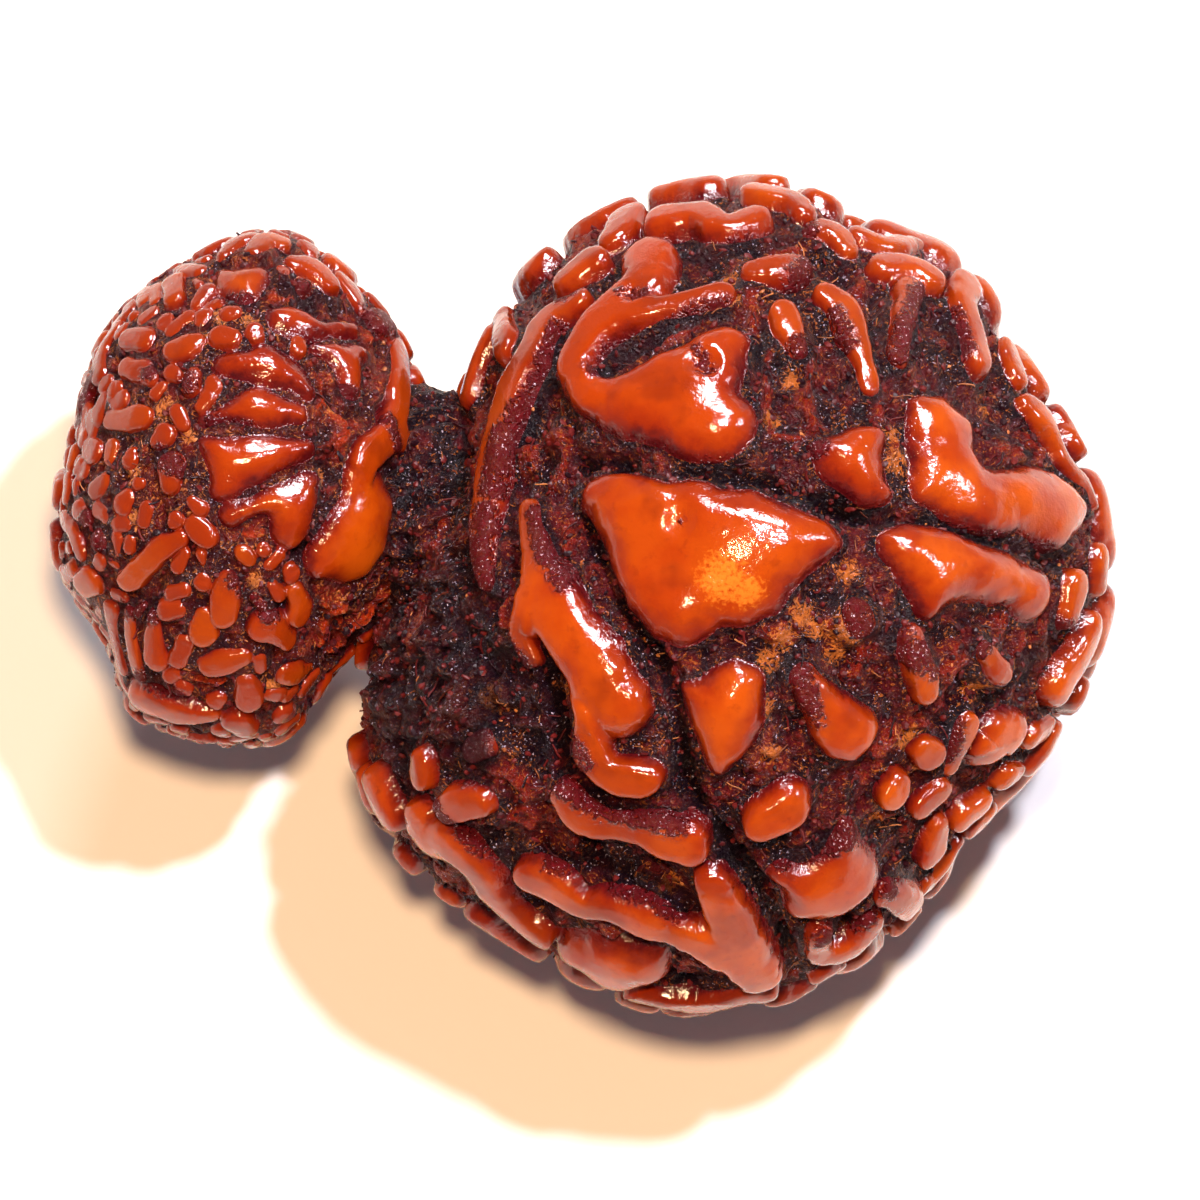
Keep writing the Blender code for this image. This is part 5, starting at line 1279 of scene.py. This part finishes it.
def strewn(tree, given, shape, tilt, wobble):
    """A shape strewn over the given ground, each turned, tilted and sized at random, as real geometry."""
    ground = given["Geometry"]
    seed = given["Seed"]
    tan = ground.node("GeometryNodeInputNamedAttribute", {"data_type": "FLOAT"}, {"Name": "tan"})
    crowding = tan * given["Gathering"] + 1
    spread = ground.node("GeometryNodeDistributePointsOnFaces", {},
                         {"Mesh": ground, "Density": given["Density"] * crowding, "Seed": seed})
    facing = Field(tree, spread.socket.node.outputs["Rotation"])
    turn = ground.node("FunctionNodeRandomValue", {"data_type": "FLOAT_VECTOR"},
                       {0: (-tilt, -tilt, 0), 1: (tilt, tilt, 2 * np.pi), "Seed": seed})
    turned = facing.node("FunctionNodeRotateRotation", {"rotation_space": "LOCAL"}, {
        "Rotation": facing, "Rotate By": turn.node("FunctionNodeEulerToRotation", {}, {"Euler": turn})})
    size = ground.node("FunctionNodeRandomValue", {"data_type": "FLOAT_VECTOR"},
                       {0: STREWN_LEAST, 1: STREWN_MOST, "Seed": seed + 1})
    copies = spread.node("GeometryNodeInstanceOnPoints", {}, {
        "Points": spread, "Instance": shape, "Rotation": turned, "Scale": size})
    shade = ground.node("FunctionNodeRandomValue", {"data_type": "FLOAT"},
                        {2: 0.0, 3: 1.0, "Seed": seed + 2}, 1)
    named = copies.node("GeometryNodeStoreNamedAttribute", {"data_type": "FLOAT", "domain": "INSTANCE"},
                        {"Geometry": copies, "Name": "shade", "Value": shade})
    real = named.node("GeometryNodeRealizeInstances", {}, {"Geometry": named})
    place = real.node("GeometryNodeInputPosition", {}, {})
    sway = place.node("ShaderNodeTexNoise", {},
                      {"Vector": place, "Scale": 1 / (STREWN_WAVELENGTH * MM), "Detail": 1.0}, 1)
    sway = sway.node("ShaderNodeVectorMath", {"operation": "SUBTRACT"}, {0: sway, 1: (0.5, 0.5, 0.5)})
    sway = sway.node("ShaderNodeVectorMath", {"operation": "SCALE"}, {0: sway, "Scale": wobble * MM})
    moved = real.node("GeometryNodeSetPosition", {}, {"Geometry": real, "Offset": sway})
    finished = moved.node("GeometryNodeSetMaterial", {}, {"Geometry": moved, "Material": given["Material"]})
    sink = tree.nodes.new("NodeGroupOutput")
    tree.links.new(finished.socket, sink.inputs["Geometry"])
    return tree


def fibre_tree():
    """Short bent fibres that lie on the ground, thin at their ends."""
    tree, given = new_tree("strewn fibres", STREWN_INPUTS)
    start = given["Length"].node("ShaderNodeCombineXYZ", {}, {0: given["Length"] * -0.5, 2: -0.04 * MM})
    middle = start.node("ShaderNodeCombineXYZ", {}, {1: given["Length"] * 0.16, 2: given["Length"] * 0.2})
    end = start.node("ShaderNodeCombineXYZ", {}, {0: given["Length"] * 0.5, 2: 0.02 * MM})
    line = start.node("GeometryNodeCurveQuadraticBezier", {},
                      {"Resolution": FIBRE_STEPS, "Start": start, "Middle": middle, "End": end})
    along = line.node("GeometryNodeSplineParameter", {}, {})
    slim = 1 - 0.7 * (2 * along - 1) * (2 * along - 1)
    line = line.node("GeometryNodeSetCurveRadius", {}, {"Curve": line, "Radius": slim})
    ring = line.node("GeometryNodeCurvePrimitiveCircle", {},
                     {"Resolution": FIBRE_SIDES, "Radius": given["Thickness"] * 0.5})
    shape = line.node("GeometryNodeCurveToMesh", {},
                      {"Curve": line, "Profile Curve": ring, "Fill Caps": True})
    return strewn(tree, given, shape, np.radians(28), 0.22)


def crumb_tree():
    """Small uneven crumbs half sunk in the ground."""
    tree, given = new_tree("strewn crumbs", STREWN_INPUTS)
    shape = given["Length"].node("GeometryNodeMeshIcoSphere", {},
                                 {"Radius": given["Length"] * 0.5, "Subdivisions": 1})
    return strewn(tree, given, shape, np.radians(60), 0.09)


def strew(name, bed, tree, material, density, length, thickness, gathering, seed):
    """One piece of what a tree strews over the bed."""
    bpy.context.scene.collection.objects.link(bed)
    strewing = bed.modifiers.new(name, "NODES")
    strewing.node_group = tree
    values = {"Density": density / MM ** 2, "Length": length * MM, "Thickness": thickness * MM,
              "Gathering": gathering, "Seed": seed, "Material": material}
    for socket in tree.interface.items_tree:
        if socket.name in values:
            strewing[socket.identifier] = values[socket.name]
    evaluated = bed.evaluated_get(bpy.context.evaluated_depsgraph_get())
    mesh = bpy.data.meshes.new_from_object(evaluated)
    mesh.name = name
    bed.modifiers.clear()
    bpy.context.scene.collection.objects.unlink(bed)
    places = np.empty(len(mesh.vertices) * 3)
    mesh.vertices.foreach_get("co", places)
    mesh.vertices.foreach_set("co", np.clip(places.reshape(-1, 3), CAD_LOW, CAD_HIGH).ravel())
    piece = bpy.data.objects.new(name, mesh)
    bpy.context.scene.collection.objects.link(piece)
    return piece


def bed_of(pieces):
    """One object of the ground of both seeds and the neck, to strew things over."""
    cage = bmesh.new()
    for piece in pieces:
        cage.from_mesh(piece.data)
    mesh = bpy.data.meshes.new("bed")
    cage.to_mesh(mesh)
    cage.free()
    return bpy.data.objects.new("bed", mesh)


def floor_piece():
    """The white sheet that the seed lies on."""
    cage = bmesh.new()
    bmesh.ops.create_circle(cage, cap_ends=True, segments=96, radius=FLOOR_RADIUS)
    mesh = bpy.data.meshes.new("floor")
    cage.to_mesh(mesh)
    cage.free()
    floor = bpy.data.objects.new("floor", mesh)
    bpy.context.scene.collection.objects.link(floor)
    sheet = {"Roughness": 0.9, "Specular IOR Level": 0.0, "Base Color": FLOOR_WHITE}
    mesh.materials.append(new_material("white sheet", sheet)[0])
    return floor


def light(name, towards, distance, size, power, colour, whole):
    """A round soft light from a direction, given as turn and height in degrees. One that isn't whole adds
    only highlights."""
    turn, height = np.radians(towards)
    way = Vector((np.cos(height) * np.cos(turn), np.cos(height) * np.sin(turn), np.sin(height)))
    lamp = bpy.data.lights.new(name, "AREA")
    lamp.shape = "DISK"
    lamp.size = size
    lamp.energy = power
    lamp.color = colour
    holder = bpy.data.objects.new(name, lamp)
    holder.location = AIM + way * distance
    holder.rotation_euler = way.to_track_quat("Z", "Y").to_euler()
    holder.visible_diffuse = whole
    bpy.context.scene.collection.objects.link(holder)


def surroundings():
    """The room's light, and the plain tone that the picture is seen in."""
    world = bpy.data.worlds.new("white room")
    world.use_nodes = True
    air = world.node_tree.nodes["Background"]
    place = Field(world.node_tree, world.node_tree.nodes.new("ShaderNodeTexCoord").outputs["Generated"])
    height = place.node("ShaderNodeSeparateXYZ", {}, {"Vector": place}, 2)
    room = place.plain(ROOM_SIDES).mix(ROOM_TOP, height.smooth(0.0, 0.7))
    place.tree.links.new(room.socket, air.inputs["Color"])
    bpy.context.scene.world = world
    bpy.context.scene.view_settings.view_transform = "Standard"


def camera():
    """A long lens that looks at the face square on, with the frame's middle where the photograph has it."""
    lens = bpy.data.cameras.new("camera")
    lens.sensor_width = FRAME_WIDTH
    lens.lens = CAMERA_DISTANCE
    lens.clip_end = 10
    holder = bpy.data.objects.new("camera", lens)
    right, up, out = (Vector(row) for row in FACE_TURN)
    aim = Vector(face_to_world(np.array(FRAME_MIDDLE)))
    turn = Matrix((right, up, out)).transposed().to_4x4()
    holder.matrix_world = Matrix.Translation(aim + out * CAMERA_DISTANCE * MM) @ turn
    bpy.context.scene.collection.objects.link(holder)
    bpy.context.scene.camera = holder


def main():
    large = seed_pieces("large", LARGE_SHELL, LARGE_FORM, LARGE_LOOKS, SMALL_SHELL)
    small = seed_pieces("small", SMALL_SHELL, SMALL_FORM, SMALL_LOOKS, LARGE_SHELL)
    neck = neck_piece()
    skin = lobe_material()
    large_dirt = ground_material("rough dark ground", LARGE_GROUND)
    small_dirt = ground_material("rough red ground", SMALL_GROUND)
    for (lobes, *grounds), dirt in ((large, large_dirt), (small, small_dirt)):
        lobes.data.materials.append(skin)
        for ground in grounds:
            ground.data.materials.append(dirt)
    neck.data.materials.append(large_dirt)
    bed = bed_of((*large[1:], *small[1:], neck))
    fibres = fibre_tree()
    crumbs = crumb_tree()
    tan = strand_material("dry tan fibre", FIBRE_BROWN, FIBRE_TAN)
    dark = strand_material("dark wet fibre", GRIT_DARK, GROUND_RED)
    strewn_pieces = [strew("tan_fibres", bed, fibres, tan, *TAN_FIBRES),
                     strew("dark_fibres", bed, fibres, dark, *DARK_FIBRES),
                     strew("crumbs", bed, crumbs, dark, *CRUMBS),
                     strew("tan_crumbs", bed, crumbs, tan, *TAN_CRUMBS)]
    bpy.data.objects.remove(bed)

    for piece in (*large, *small, neck, *strewn_pieces):
        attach(piece, "root")
    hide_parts(NODE)
    floor_piece()
    surroundings()
    light("key light", *KEY_LIGHT)
    light("warm light", *WARM_LIGHT)
    light("back light", *BACK_LIGHT)
    light("shine from above", *SHINE_ABOVE)
    light("shine from the right", *SHINE_RIGHT)
    camera()


main()
